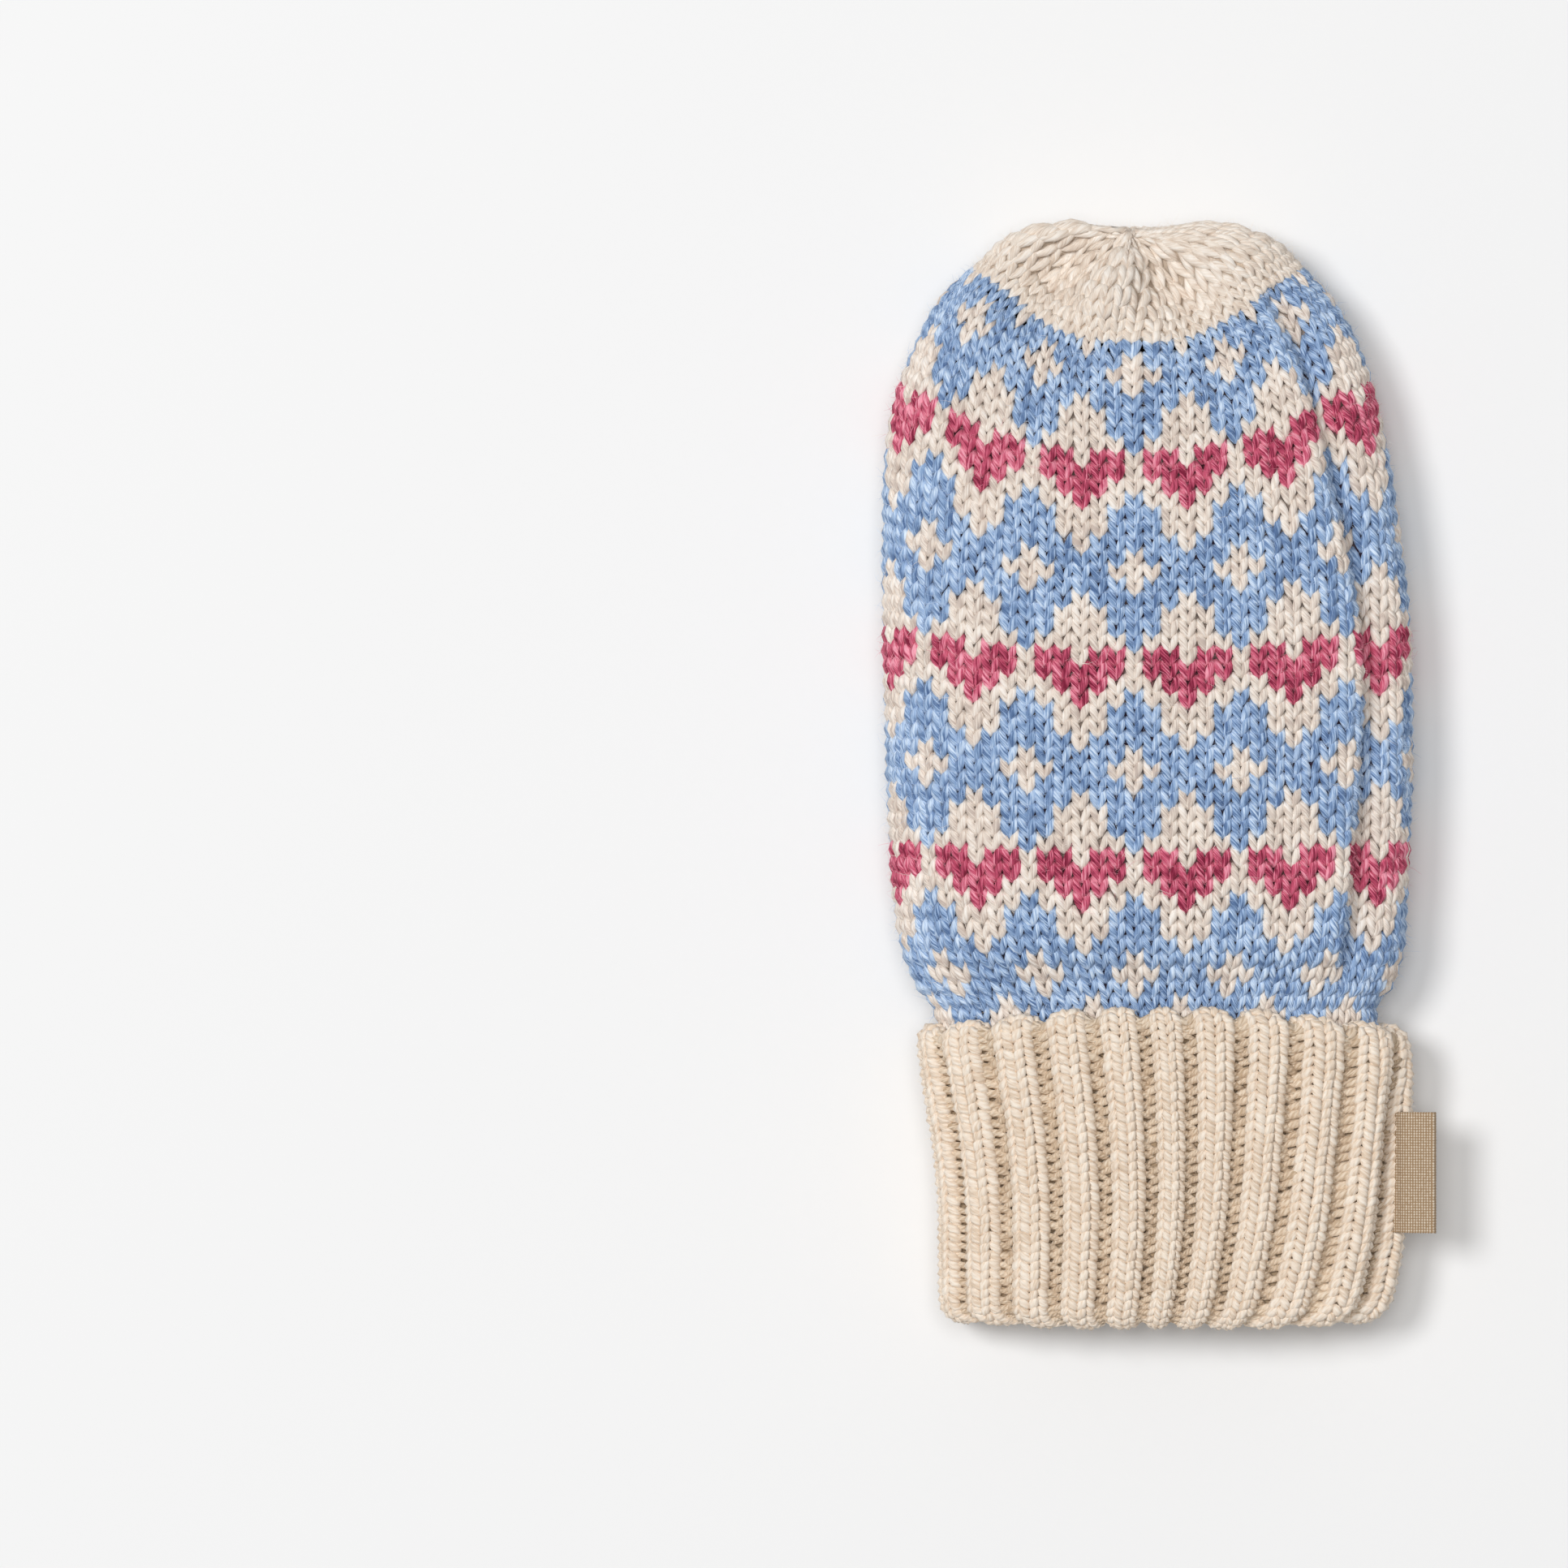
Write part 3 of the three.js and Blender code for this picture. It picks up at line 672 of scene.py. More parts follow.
def ribbon_mesh(name, reach, length, place, tilt):
    """A woven ribbon folded in two across its length, its two ends at the place given. Each
    crossing of its threads is a point, in turn a little above and a little below the ribbon."""
    radius = (LABEL_THICKNESS + LABEL_GAP) / 2
    straight = reach - radius - LABEL_THICKNESS / 2
    whole = 2 * straight + math.pi * radius
    half_pitch = THREAD_PITCH / 2
    way = np.linspace(0, whole, round(whole / half_pitch) + 1)
    turn = np.clip((way - straight) / radius, 0, math.pi)
    back = np.maximum(way - straight - math.pi * radius, 0)
    out = np.minimum(way, straight) + radius * np.sin(turn) - back
    dip = LABEL_DIP * smooth(1 - out / LABEL_DIP_REACH)
    centre = np.stack([out, -radius * np.cos(turn) - dip])
    outward = np.stack([np.sin(turn), -np.cos(turn)])
    across = np.linspace(-length / 2, length / 2, round(length / half_pitch) + 1)
    over = (-1) ** (np.arange(len(way))[None] + np.arange(len(across))[:, None])
    ring_way = np.concatenate([way, way[::-1]])
    skins = []
    for face in (1, -1):
        lift = LABEL_THICKNESS / 2 + over * THREAD_RELIEF
        skins.append(centre[None] + face * outward[None] * lift[:, None])
    ring = np.concatenate([skins[0], skins[1][..., ::-1]], axis=-1)
    along, level = ring[:, 0], ring[:, 1]
    edge = SELVEDGE_WAVE * (-1) ** np.arange(len(ring_way))
    ends = np.zeros(ring.shape[::2])
    ends[0], ends[-1] = -edge, edge
    points = np.stack([
        place[0] + along * math.cos(tilt) - level * math.sin(tilt),
        place[1] + across[:, None] + ends,
        place[2] + along * math.sin(tilt) + level * math.cos(tilt),
    ], axis=-1)
    count, width = ends.shape
    i, j = np.meshgrid(np.arange(count - 1), np.arange(width), indexing="ij")
    k = (j + 1) % width
    sides = np.stack([i * width + j, (i + 1) * width + j, (i + 1) * width + k, i * width + k], axis=-1)
    j = np.arange(len(way) - 1)
    first = np.stack([j, j + 1, width - 2 - j, width - 1 - j], axis=-1)
    last = first[:, ::-1] + (count - 1) * width
    faces = [sides.reshape(-1, 4), first, last]
    corner = np.concatenate([f.ravel() for f in faces])
    threads = np.stack([np.tile(ring_way, count), np.repeat(across, width)], axis=-1) / THREAD_PITCH
    return new_mesh(name, points.reshape(-1, 3), faces, threads[corner])


# Surfaces that the stitches are laid on
fabric = Cloth(fabric_row, first=-4, last=GATHER_ROW, step=0.25)
cuff = Cloth(cuff_row, first=-28, last=36.5, step=0.25)
cuff_rows = cuff.rows[:, None]
rib_depth = RIB_DEPTH * (1 - FOLD_FADE * bell(cuff_rows, FOLD_FADE_ROWS))
rib_depth = rib_depth * (1 - EDGE_FADE * smooth((cuff_rows - EDGE_FADE_ROW) / EDGE_FADE_ROWS))
seam_span = smooth(cuff_rows / FOLD_FADE_ROWS) * smooth((SEAM_END_ROW - cuff_rows) / EDGE_FADE_ROWS)
seam = bell(cuff.column[None] - SEAM_COLUMN, SEAM_REACH) * seam_span
fold_sink = FOLD_SINK * bell(cuff_rows, FOLD_FADE_ROWS)
cuff.push(-rib_depth * rib_valley(cuff.column)[None] - SEAM_DEPTH * seam - fold_sink)

# A leg of a stitch, from its narrow end: across in stitches, along in rows, lift in radii above the
# yarn's level, share of the full radius. The narrow end lies over the stitch that it grows from.
HAND_LEG = [
    (0.03, -0.7, -0.45, 0.35),
    (0.11, -0.38, 0.2, 0.86),
    (0.24, 0.0, 0.4, 1.06),
    (0.355, 0.38, 0.0, 1.0),
    (0.41, 0.78, -1.0, 0.45),
]
CUFF_LEG = [
    (0.02, 0.7, -0.4, 0.35),
    (0.11, 0.38, 0.2, 0.86),
    (0.245, 0.0, 0.38, 1.06),
    (0.38, -0.38, 0.0, 0.98),
    (0.45, -0.8, -1.0, 0.45),
]
PURL_BUMP = [
    (0.55, 0.3, -0.5, 0.7),
    (0.2, 0.12, 0.0, 1.0),
    (-0.15, -0.12, 0.0, 1.0),
    (-0.5, -0.5, -0.9, 0.6),
]
YARN_WIDTH = 0.25
YARN_LEVEL = -0.4 * MM
YARN_SIDES = 6

# Stitches on the underside, further from the middle line than a share of all the stitches, have one
# ring less and fewer sides
UNDER_SIDES = 5
UNDER_SHARE = 1 / 3.4


def under_leg(leg):
    return [leg[0], leg[1], leg[3], leg[4]]


def lies_under(column):
    return np.abs(column - STITCH_COUNT * np.round(column / STITCH_COUNT)) > STITCH_COUNT * UNDER_SHARE


def legs(cloth, column, row, shape, pitch=1, width=YARN_WIDTH, jitter=0.05):
    """Both legs of each stitch, as two groups: in sight, and on the underside."""
    groups = []
    hidden = lies_under(column)
    for chosen, rings, sides in ((~hidden, shape, YARN_SIDES), (hidden, under_leg(shape), UNDER_SIDES)):
        for hand in (-1, 1):
            mirror = np.full(chosen.sum(), hand)
            groups.append(lay_yarn(
                cloth, column[chosen], row[chosen], rings, pitch, mirror, width, YARN_LEVEL, jitter,
                sides,
            ))
    return groups


def wool_at(column, row):
    """The chart's wool letter at a stitch: b, c or p."""
    up = len(CHART) - 1 - np.mod(row - CHART_TOP_ROW, len(CHART)).astype(int)
    chart = np.array([list(line) for line in CHART])
    return chart[up, np.mod(np.round(column - FIRST_COLUMN_PLACE), chart.shape[1]).astype(int)]


column, row = np.meshgrid(
    np.arange(STITCH_COUNT) + FIRST_COLUMN_PLACE - STITCH_COUNT / 2,
    np.arange(FIRST_ROW, LAST_PATTERN_ROW + 1),
)
column, row = column.ravel(), row.ravel().astype(float)
letters = wool_at(column, row)
hand_yarn = {
    wool: legs(fabric, column[letters == letter], row[letters == letter], HAND_LEG)
    for letter, wool in (("b", "blue"), ("c", "cream"), ("p", "pink"))
}

# The crown: fewer and fewer stitches in each row, up to the gather. Row, and stitches taken as one.
CROWN_ROWS = [(47, 1), (48, 1.125), (49, 1.333), (50, 1.6), (51, 2), (52, 2.667), (53, 4)]
CROWN_YARN_WIDTH = 0.3
CROWN_LEG = [
    (0.04, -0.72, -0.4, 0.35),
    (0.13, -0.38, 0.2, 0.88),
    (0.26, 0.0, 0.4, 1.05),
    (0.38, 0.36, 0.05, 1.0),
    (0.46, 0.74, -0.9, 0.45),
]
crown_yarn = []
for crown_row, pitch in CROWN_ROWS:
    places = np.arange(0, STITCH_COUNT, pitch) + FIRST_COLUMN_PLACE + (pitch - 1) / 2
    rows = np.full(len(places), float(crown_row))
    crown_yarn += legs(fabric, places, rows, CROWN_LEG, pitch, CROWN_YARN_WIDTH)

# The cuff: two columns of knit stitches on each rib, and purl bumps in the valley between them
KNIT_PLACE = 0.575
KNIT_WIDTH = 0.228
OUTER_ROWS = np.arange(1, 36)
INNER_ROWS = np.arange(-11, 1)
PURL_ROWS = np.arange(-8, 36)

# Purl bumps slope down from both sides into the valley, in turn. Side, stitches from the middle of
# the valley, and rows.
PURL_BUMPS = [(-1, 0.24, 0), (1, 0.24, 0.5)]
PURL_PITCH = 0.9
PURL_WIDTH = 0.265
PURL_LEVEL = -0.35 * MM
PURL_JITTER = 0.09
RIB_JITTER = 0.035


def spread_rows(places, rows):
    place, row = np.meshgrid(places, rows)
    return place.ravel(), row.ravel().astype(float)


def rib_yarn(rows):
    knit, row = spread_rows(np.arange(RIB_COUNT) * RIB_STITCHES, rows)
    yarn = []
    for side in (-1, 1):
        place = knit + side * KNIT_PLACE
        yarn += legs(cuff, place, row, CUFF_LEG, 2 * KNIT_PLACE, KNIT_WIDTH, RIB_JITTER)
    return yarn


def purl_yarn(rows):
    purl, row = spread_rows((np.arange(RIB_COUNT) + 0.5) * RIB_STITCHES, rows)
    yarn = []
    for side, across, along in PURL_BUMPS:
        mirror = np.full(len(purl), side)
        yarn.append(lay_yarn(
            cuff, purl + side * across, row + along, PURL_BUMP, PURL_PITCH, mirror, PURL_WIDTH,
            PURL_LEVEL, PURL_JITTER, UNDER_SIDES,
        ))
    return yarn


cuff_knit, cuff_fold = rib_yarn(OUTER_ROWS), rib_yarn(INNER_ROWS)
cuff_purl = purl_yarn(PURL_ROWS)

# The sewn side seam, whose stitches lie over the label's inner edge
SEAM_ROWS = np.arange(4, 31) + 0.3
SEAM_STITCH = [
    (-0.5, -0.3, -0.7, 0.6),
    (-0.2, -0.1, 0.2, 1.0),
    (0.2, 0.12, 0.2, 1.0),
    (0.5, 0.35, -0.7, 0.6),
]
SEAM_PITCH = 0.85
SEAM_WIDTH = 0.17
SEAM_LEVEL = 0.45 * MM
SEAM_JITTER = 0.12
seam_yarn = [lay_yarn(
    cuff, np.full(len(SEAM_ROWS), SEAM_COLUMN), SEAM_ROWS, SEAM_STITCH, SEAM_PITCH,
    np.ones(len(SEAM_ROWS)), SEAM_WIDTH, SEAM_LEVEL, SEAM_JITTER, YARN_SIDES,
)]


def socket(node, name, value):
    node.inputs[name].default_value = value


def new_material(name):
    material = bpy.data.materials.new(name)
    material.use_nodes = True
    tree = material.node_tree
    shader = tree.nodes["Principled BSDF"]
    return material, tree, shader


def math_node(tree, operation, a, b=None):
    node = tree.nodes.new("ShaderNodeMath")
    node.operation = operation
    for i, value in enumerate((a, b)):
        if value is None:
            continue
        if isinstance(value, (int, float)):
            node.inputs[i].default_value = value
        else:
            tree.links.new(value, node.inputs[i])
    return node.outputs[0]


# Tone of a yarn. Fibres: how many go round it, and their slant and stretch along it. Shares of the
# fibres, a length's own tone, its plies and uneven dyeing; the plies' share is painted shade in the
# grooves between plies and a painted highlight on their crests. Stops: tones of the three colours.
FIBRES_ROUND = 14.0
FIBRE_SLANT = 2.6
FIBRE_STRETCH = 0.5
PLY_SLANT = 0.55
TONE_SHARES = {"fibres": 1.05, "own": 0.16, "ply_groove_shade": 0.12, "dyeing": 0.1}
TONE_STOPS = {"dark": 0.54, "middle": 0.72, "light": 0.9}
DYE_PATCHES = 300.0
YARN_SHEEN = 0.35


def yarn_material(name, dark, middle, light, ply, bump=0.7):
    """Wool yarn: fibres that run along it in a slow spiral, plies with painted shade in their grooves
    and a painted highlight on their crests, and uneven dyeing.
    """
    material, tree, shader = new_material(name)
    link = tree.links.new
    uv = tree.nodes.new("ShaderNodeUVMap")
    uv.uv_map = "yarn"
    part = tree.nodes.new("ShaderNodeSeparateXYZ")
    link(uv.outputs["UV"], part.inputs[0])
    around, along = part.outputs["X"], part.outputs["Y"]
    strand = tree.nodes.new("ShaderNodeAttribute")
    strand.attribute_name = "strand"
    own = tree.nodes.new("ShaderNodeSeparateColor")
    link(strand.outputs["Color"], own.inputs[0])
    shift = math_node(tree, "MULTIPLY", own.outputs["Red"], 37.0)
    turned = math_node(tree, "MULTIPLY", around, FIBRES_ROUND)
    spiral = math_node(tree, "ADD", turned, math_node(tree, "MULTIPLY", along, FIBRE_SLANT))
    place = tree.nodes.new("ShaderNodeCombineXYZ")
    link(math_node(tree, "ADD", spiral, shift), place.inputs["X"])
    link(math_node(tree, "MULTIPLY", along, FIBRE_STRETCH), place.inputs["Y"])
    link(shift, place.inputs["Z"])
    fibres = tree.nodes.new("ShaderNodeTexNoise")
    socket(fibres, "Scale", 1.0)
    socket(fibres, "Detail", 3.0)
    socket(fibres, "Roughness", 0.65)
    link(place.outputs[0], fibres.inputs["Vector"])
    turn = math_node(tree, "ADD", around, math_node(tree, "MULTIPLY", along, PLY_SLANT))
    # The ply wave gives relief, and in the colour painted shade in the grooves and a painted highlight
    # on the crests
    wave = math_node(tree, "SINE", math_node(tree, "MULTIPLY", turn, 2 * math.pi * ply))
    wave = math_node(tree, "MULTIPLY", math_node(tree, "ADD", wave, 1.0), 0.5)
    patch = tree.nodes.new("ShaderNodeTexNoise")
    socket(patch, "Scale", DYE_PATCHES)
    socket(patch, "Detail", 2.0)
    place_in_space = tree.nodes.new("ShaderNodeTexCoord")
    link(place_in_space.outputs["Object"], patch.inputs["Vector"])
    mix = math_node(tree, "MULTIPLY", fibres.outputs["Fac"], TONE_SHARES["fibres"])
    for source, share in (
        (own.outputs["Green"], "own"), (wave, "ply_groove_shade"), (patch.outputs["Fac"], "dyeing"),
    ):
        mix = math_node(tree, "ADD", mix, math_node(tree, "MULTIPLY", source, TONE_SHARES[share]))
    ramp = tree.nodes.new("ShaderNodeValToRGB")
    ramp.color_ramp.elements[0].position = TONE_STOPS["dark"]
    ramp.color_ramp.elements[0].color = (*dark, 1)
    ramp.color_ramp.elements[1].position = TONE_STOPS["light"]
    ramp.color_ramp.elements[1].color = (*light, 1)
    ramp.color_ramp.elements.new(TONE_STOPS["middle"]).color = (*middle, 1)
    link(mix, ramp.inputs["Fac"])
    link(ramp.outputs["Color"], shader.inputs["Base Color"])
    height = math_node(tree, "ADD", fibres.outputs["Fac"], math_node(tree, "MULTIPLY", wave, 0.6))
    relief = tree.nodes.new("ShaderNodeBump")
    socket(relief, "Strength", bump)
    socket(relief, "Distance", 0.16 * MM)
    link(height, relief.inputs["Height"])
    link(relief.outputs["Normal"], shader.inputs["Normal"])
    socket(shader, "Roughness", 0.9)
    socket(shader, "Specular IOR Level", 0.2)
    socket(shader, "Sheen Weight", YARN_SHEEN)
    socket(shader, "Sheen Roughness", 0.5)
    socket(shader, "Sheen Tint", (*light, 1))
    return material


def fibre_material(name, dark, light):
    """Loose fibres, each of its own shade."""
    material, tree, shader = new_material(name)
    strand = tree.nodes.new("ShaderNodeAttribute")
    strand.attribute_name = "strand"
    own = tree.nodes.new("ShaderNodeSeparateColor")
    tree.links.new(strand.outputs["Color"], own.inputs[0])
    ramp = tree.nodes.new("ShaderNodeValToRGB")
    ramp.color_ramp.elements[0].color = (*dark, 1)
    ramp.color_ramp.elements[1].color = (*light, 1)
    tree.links.new(own.outputs["Red"], ramp.inputs["Fac"])
    tree.links.new(ramp.outputs["Color"], shader.inputs["Base Color"])
    socket(shader, "Roughness", 0.8)
    socket(shader, "Specular IOR Level", 0.3)
    socket(shader, "Sheen Weight", 0.3)
    return material


def wall_material(name):
    """The fabric behind the stitches: its strand colour, a painted shade darker than the wools in
    front, with a fine knitted grain.
    """
    material, tree, shader = new_material(name)
    link = tree.links.new
    strand = tree.nodes.new("ShaderNodeAttribute")
    strand.attribute_name = "strand"
    grain = tree.nodes.new("ShaderNodeTexNoise")
    socket(grain, "Scale", 900.0)
    socket(grain, "Detail", 3.0)
    place = tree.nodes.new("ShaderNodeTexCoord")
    link(place.outputs["Object"], grain.inputs["Vector"])
    shade = tree.nodes.new("ShaderNodeMix")
    shade.data_type = "RGBA"
    shade.blend_type = "MULTIPLY"
    socket(shade, "Factor", 0.5)
    link(strand.outputs["Color"], shade.inputs["A"])
    link(grain.outputs["Fac"], shade.inputs["B"])
    link(shade.outputs["Result"], shader.inputs["Base Color"])
    relief = tree.nodes.new("ShaderNodeBump")
    socket(relief, "Strength", 0.8)
    socket(relief, "Distance", 0.3 * MM)
    link(grain.outputs["Fac"], relief.inputs["Height"])
    link(relief.outputs["Normal"], shader.inputs["Normal"])
    socket(shader, "Roughness", 0.95)
    return material


def ribbon_material(name, dark, middle, light):
    """A plain weave of flat threads: painted shade darkens the gaps between them, a painted highlight
    lightens their crowns where they stand highest, and the threads are uneven.
    """
    material, tree, shader = new_material(name)
    link = tree.links.new
    uv = tree.nodes.new("ShaderNodeUVMap")
    uv.uv_map = "yarn"
    part = tree.nodes.new("ShaderNodeSeparateXYZ")
    link(uv.outputs["UV"], part.inputs[0])
    threads = []
    # Waves across the threads: their middles lighter and the gaps darker, painted shade, and relief too
    for axis, share in (("X", 0.62), ("Y", 0.38)):
        wave = math_node(tree, "SINE", math_node(tree, "MULTIPLY", part.outputs[axis], math.pi))
        threads.append(math_node(tree, "MULTIPLY", math_node(tree, "ABSOLUTE", wave), share))
    weave = math_node(tree, "ADD", *threads)
    slubs = tree.nodes.new("ShaderNodeTexNoise")
    socket(slubs, "Scale", 0.9)
    socket(slubs, "Detail", 4.0)
    socket(slubs, "Roughness", 0.7)
    link(uv.outputs["UV"], slubs.inputs["Vector"])
    mix = math_node(tree, "ADD", weave, math_node(tree, "MULTIPLY", slubs.outputs["Fac"], 0.8))
    ramp = tree.nodes.new("ShaderNodeValToRGB")
    ramp.color_ramp.elements[0].position = 0.72
    ramp.color_ramp.elements[0].color = (*dark, 1)
    ramp.color_ramp.elements[1].position = 1.0
    ramp.color_ramp.elements[1].color = (*middle, 1)
    fade = tree.nodes.new("ShaderNodeMix")
    fade.data_type = "RGBA"
    link(ramp.outputs["Color"], fade.inputs["A"])
    fade.inputs["B"].default_value = (*light, 1)
    # Where threads and slubs stand highest the colour turns to the light one: a painted highlight
    painted_highlight = math_node(tree, "MULTIPLY", math_node(tree, "SUBTRACT", mix, 1.0), 1.6)
    clamped = math_node(tree, "MAXIMUM", painted_highlight, 0.0)
    link(clamped, fade.inputs["Factor"])
    link(fade.outputs["Result"], shader.inputs["Base Color"])
    relief = tree.nodes.new("ShaderNodeBump")
    socket(relief, "Strength", 0.8)
    socket(relief, "Distance", 0.1 * MM)
    link(mix, relief.inputs["Height"])
    link(relief.outputs["Normal"], shader.inputs["Normal"])
    socket(shader, "Roughness", 0.75)
    socket(shader, "Specular IOR Level", 0.25)
    socket(shader, "Sheen Weight", 0.15)
    return material


# Linear colours of the wools: dark, middle and light. The purl colours are the cuff's own wool made
# darker: painted shade for the valleys between the ribs.
WOOLS = {
    "blue": ((0.09, 0.16, 0.32), (0.31, 0.45, 0.68), (0.7, 0.82, 0.97)),
    "cream": ((0.57, 0.47, 0.41), (0.83, 0.73, 0.64), (0.95, 0.89, 0.83)),
    "pink": ((0.2, 0.012, 0.04), (0.61, 0.1, 0.18), (0.94, 0.4, 0.5)),
    "crown": ((0.68, 0.56, 0.46), (0.84, 0.74, 0.64), (0.94, 0.88, 0.81)),
    "cuff": ((0.73, 0.58, 0.44), (0.87, 0.74, 0.61), (0.93, 0.84, 0.73)),
    # purl: the cuff wool darkened, painted shade for the valleys between the ribs
    "purl": ((0.5, 0.37, 0.25), (0.7, 0.56, 0.42), (0.84, 0.72, 0.58)),
    # seam: darker and browner than the cuff wool
    "seam": ((0.36, 0.25, 0.15), (0.58, 0.44, 0.3), (0.78, 0.66, 0.52)),
}
wool_materials = {
    "blue": yarn_material("blue wool", *WOOLS["blue"], ply=1),
    "cream": yarn_material("cream wool", *WOOLS["cream"], ply=1),
    "pink": yarn_material("pink wool", *WOOLS["pink"], ply=1),
    "crown": yarn_material("crown wool", *WOOLS["crown"], ply=1),
    "cuff": yarn_material("cuff wool", *WOOLS["cuff"], ply=3, bump=0.6),
    "purl": yarn_material("cuff wool with painted valley shade", *WOOLS["purl"], ply=3, bump=0.6),
    "seam": yarn_material("seam wool", *WOOLS["seam"], ply=2),
}
backing = wall_material("fabric behind stitches with painted shade")


def finish_piece(piece, material, slot, *nodes):
    piece.data.materials.append(material)
    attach(piece, "root")
    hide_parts(*nodes)


for wool, slot in (("blue", "blue_wool"), ("cream", "cream_wool"), ("pink", "pink_wool")):
    finish_piece(yarn_mesh(f"{wool}_stitches", hand_yarn[wool]), wool_materials[wool], slot, "hand")
finish_piece(yarn_mesh("crown_stitches", crown_yarn), wool_materials["crown"], "cream_wool", "crown")
finish_piece(yarn_mesh("seam_stitches", seam_yarn), wool_materials["seam"], "cuff_wool", "cuff")
finish_piece(yarn_mesh("cuff_rib_stitches", cuff_knit), wool_materials["cuff"], "cuff_wool", "cuff")
finish_piece(yarn_mesh("cuff_fold_stitches", cuff_fold), wool_materials["cuff"], "cuff_wool", "cuff")
# The purl bumps take the darker purl wool: painted shade in the valleys
finish_piece(yarn_mesh("cuff_purl_bumps", cuff_purl), wool_materials["purl"], "cuff_wool", "cuff")

# Fabric behind the stitches: its linear colours, the rows it runs over, and the depths of its outer
# and inner face. The colours are painted shade, far darker than the wools in front. The cuff's inner
# face stays shallow, or it would come out through the valleys.
PAINTED_SHADE_BEHIND = {"b": (0.06, 0.035, 0.07), "c": (0.56, 0.44, 0.37), "p": (0.13, 0.02, 0.035)}
PAINTED_SHADE_BEHIND_CROWN = (0.7, 0.57, 0.45)
PAINTED_SHADE_BEHIND_CUFF = (0.5, 0.36, 0.23)
HAND_BACKING_ROWS = (-3.4, 46.6)
CROWN_BACKING_ROWS = (46.8, 53.4)
CROWN_INNER_ROWS = (46.8, 50.5)
CUFF_BACKING_ROWS = (-28, 35.6)
HAND_BACKING = (1.0 * MM, HAND_WALL)
CROWN_BACKING = (0.5 * MM, HAND_WALL)
CUFF_BACKING = (0.95 * MM, 1.5 * MM)
CUFF_BACKING_POINTS = 4


# Painted shade behind the hand's stitches, dark after the chart's wool at each column
def hand_shade(columns, row):
    letter = wool_at(columns, np.full(len(columns), round(row)))
    return np.array([(*PAINTED_SHADE_BEHIND[one], 1) for one in letter])


def plain_shade(colour):
    return lambda columns, row: np.array([(*colour, 1)] * len(columns))


hand_wall = wall_mesh(
    "hand_fabric", fabric, np.arange(*HAND_BACKING_ROWS, 1), np.arange(*HAND_BACKING_ROWS, 2),
    *HAND_BACKING, False, hand_shade,
)
finish_piece(hand_wall, backing, "blue_wool", "hand")
crown_wall = wall_mesh(
    "crown_fabric", fabric, np.arange(*CROWN_BACKING_ROWS, 0.5), np.arange(*CROWN_INNER_ROWS, 1),
    *CROWN_BACKING, True, plain_shade(PAINTED_SHADE_BEHIND_CROWN),
)
finish_piece(crown_wall, backing, "cream_wool", "crown")
cuff_wall = wall_mesh(
    "cuff_fabric", cuff, np.arange(*CUFF_BACKING_ROWS, 1), np.arange(*CUFF_BACKING_ROWS, 3),
    *CUFF_BACKING, False, plain_shade(PAINTED_SHADE_BEHIND_CUFF), CUFF_BACKING_POINTS,
)
finish_piece(cuff_wall, backing, "cuff_wool", "cuff")

# The label fills its own box, with its two ends tucked further in the seam
label_low, label_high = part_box("label")
label_half = LABEL_THICKNESS + LABEL_GAP / 2
label_reach = (label_high.x - label_low.x - 2 * label_half * math.sin(LABEL_TILT)) / math.cos(LABEL_TILT)
label_length = label_high.y - label_low.y
label_place = (
    label_low.x + label_half * math.sin(LABEL_TILT) - LABEL_TUCK * math.cos(LABEL_TILT),
    (label_low.y + label_high.y) / 2,
    label_low.z + label_half * math.cos(LABEL_TILT) - LABEL_TUCK * math.sin(LABEL_TILT),
)
label = ribbon_mesh("woven_label", label_reach + LABEL_TUCK, label_length, label_place, LABEL_TILT)
# Linear colours of the linen: dark is painted shade in the thread gaps, middle, and light is a painted
# highlight
LINEN = ((0.34, 0.22, 0.12), (0.88, 0.71, 0.51), (0.96, 0.87, 0.73))
finish_piece(label, ribbon_material("linen ribbon", *LINEN), "label_ribbon", "label")

# Loose fibres: how many, and their usual length
for wool, slot, node, count, reach, lengths in (
    ("blue", "blue_wool", "hand", 16000, 1.5 * MM, hand_yarn["blue"]),
    ("cream", "cream_wool", "hand", 12000, 1.5 * MM, hand_yarn["cream"]),
    ("pink", "pink_wool", "hand", 5500, 1.5 * MM, hand_yarn["pink"]),
    ("crown", "cream_wool", "crown", 3500, 1.5 * MM, crown_yarn),
    ("cuff", "cuff_wool", "cuff", 9000, 1.2 * MM, cuff_knit),
):
    fuzz = fuzz_mesh(f"{wool}_fuzz", lengths, count, reach)
    finish_piece(fuzz, fibre_material(f"{wool} fibres", *WOOLS[wool][1:]), slot, node)

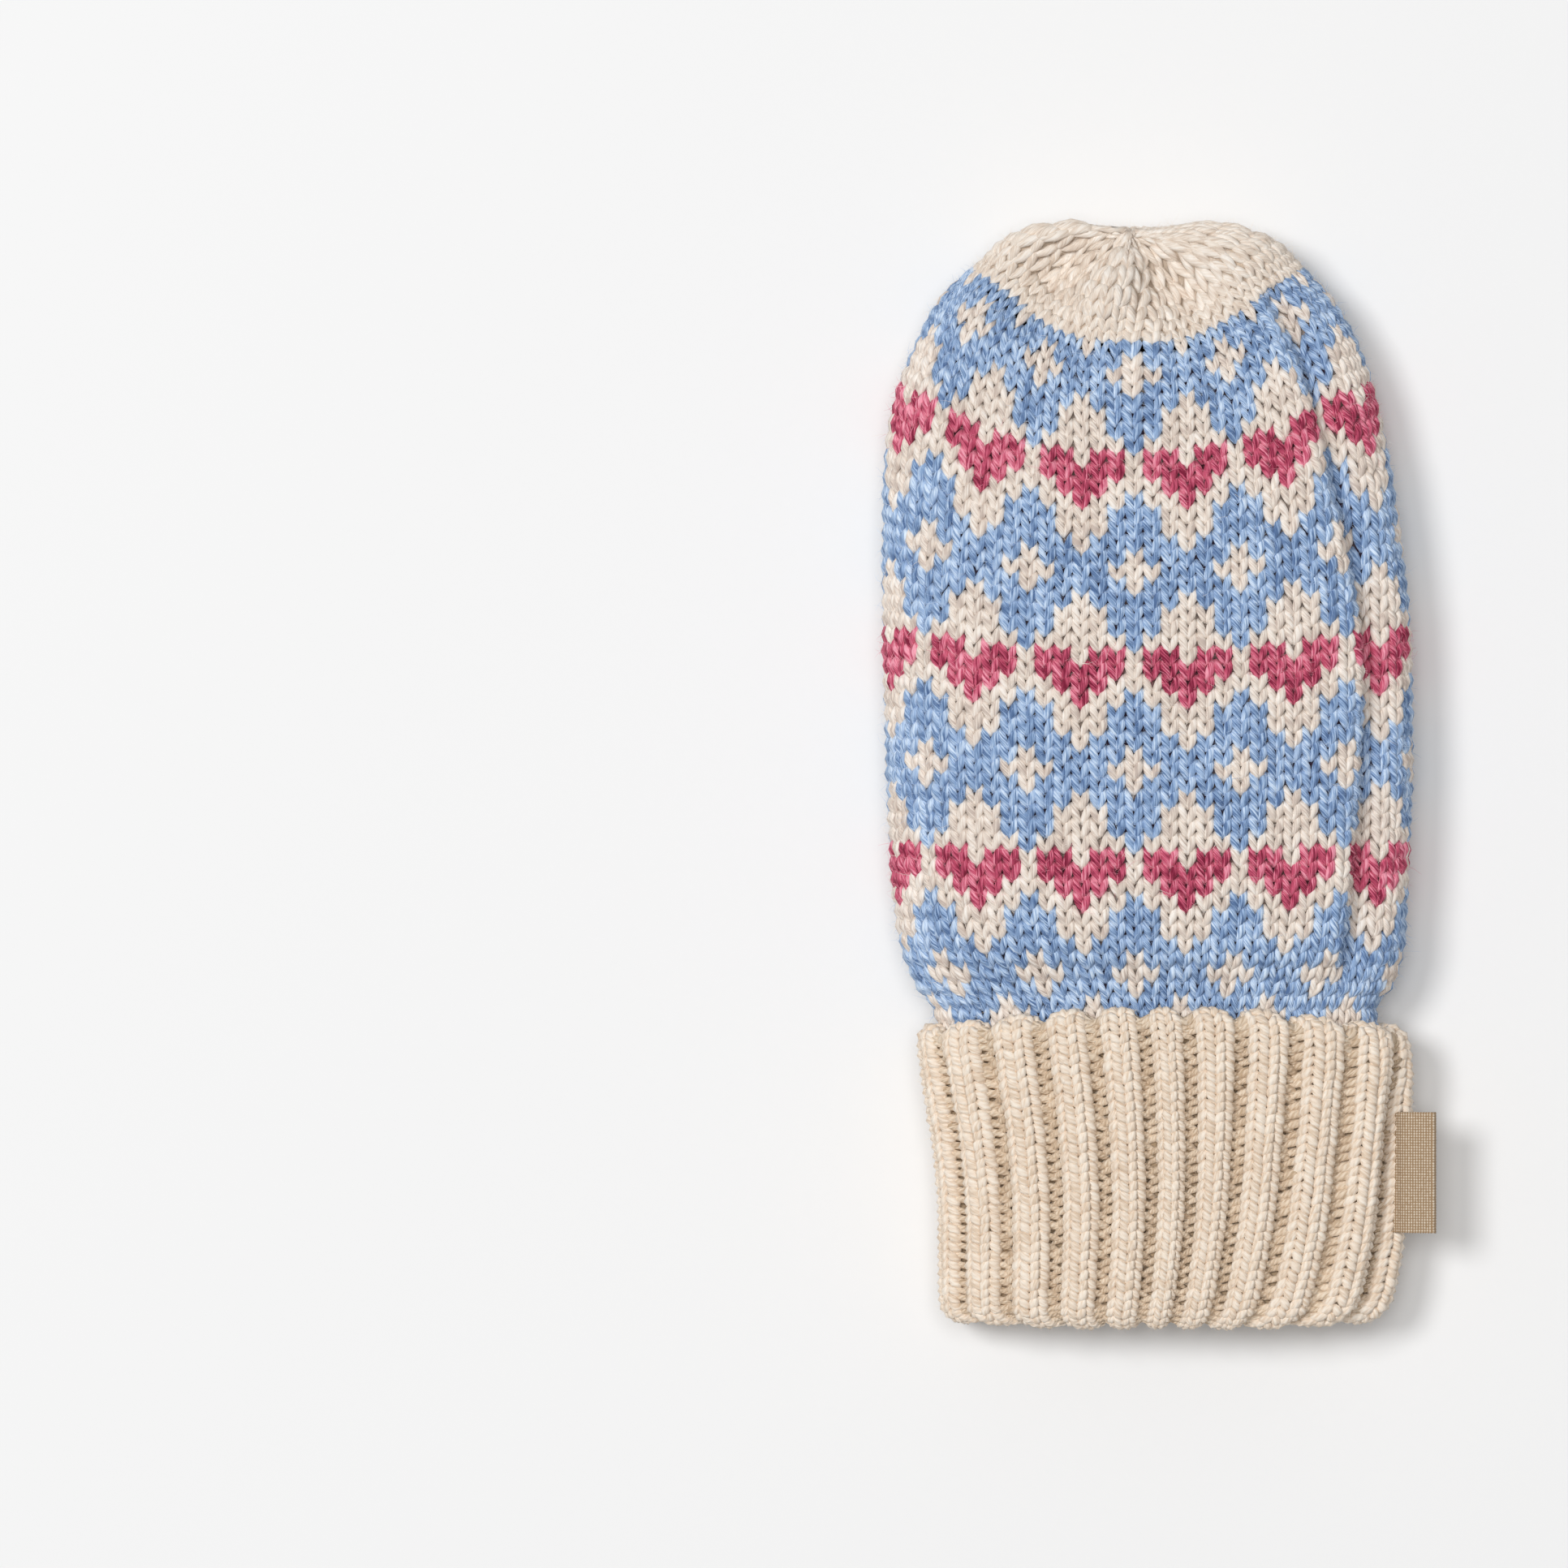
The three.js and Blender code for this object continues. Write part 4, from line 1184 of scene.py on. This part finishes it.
# Floor, lights and camera
PHOTO_SIDE = 1932
PHOTO_SCALE = 0.115 * MM
PHOTO_ORIGIN = (1412, 963)
OUTLINE_LEVEL = 10 * MM
CAMERA_HEIGHT = 1.6
SENSOR = 36
FLOOR_SIZE = 6
FLOOR_DROP = 0.05 * MM
FLOOR_COLOUR = (0.89, 0.89, 0.89, 1)
ROOM_STRENGTH = 0.25

# Round lights that face the mitten: place, width and power
LIGHTS = {
    "key light": ((-1.05, 0.44, 2.5), 0.75, 34),
    "overhead light": ((-0.1, 0.2, 3), 1.2, 33),
}

bpy.ops.mesh.primitive_plane_add(size=FLOOR_SIZE, location=(0, 0, -FLOOR_DROP))
floor = bpy.context.object
floor.name = "floor"
floor_material, _, floor_shader = new_material("pale floor")
socket(floor_shader, "Base Color", FLOOR_COLOUR)
socket(floor_shader, "Roughness", 0.9)
socket(floor_shader, "Specular IOR Level", 0.1)
floor.data.materials.append(floor_material)


def area_light(name, place, size, power):
    light = bpy.data.lights.new(name, "AREA")
    light.shape = "DISK"
    light.size = size
    light.energy = power
    lamp = bpy.data.objects.new(name, light)
    lamp.location = place
    lamp.rotation_euler = (
        math.acos(place[2] / np.linalg.norm(place)), 0, math.atan2(place[1], place[0]) + math.pi / 2
    )
    bpy.context.scene.collection.objects.link(lamp)


for light_name, (light_place, light_size, light_power) in LIGHTS.items():
    area_light(light_name, light_place, light_size, light_power)
world = bpy.data.worlds.new("soft room")
world.use_nodes = True
socket(world.node_tree.nodes["Background"], "Color", (1, 1, 1, 1))
socket(world.node_tree.nodes["Background"], "Strength", ROOM_STRENGTH)
bpy.context.scene.world = world

view_width = PHOTO_SIDE * PHOTO_SCALE
camera_data = bpy.data.cameras.new("camera")
camera_data.sensor_width = SENSOR
camera_data.lens = SENSOR * CAMERA_HEIGHT / view_width
camera_data.clip_start = 0.01
camera_data.clip_end = 20
camera = bpy.data.objects.new("camera", camera_data)
camera.location = (
    (PHOTO_SIDE / 2 - PHOTO_ORIGIN[0]) * PHOTO_SCALE,
    (PHOTO_ORIGIN[1] - PHOTO_SIDE / 2) * PHOTO_SCALE,
    CAMERA_HEIGHT + OUTLINE_LEVEL,
)
bpy.context.scene.collection.objects.link(camera)
bpy.context.scene.camera = camera
bpy.context.scene.view_settings.view_transform = "Standard"
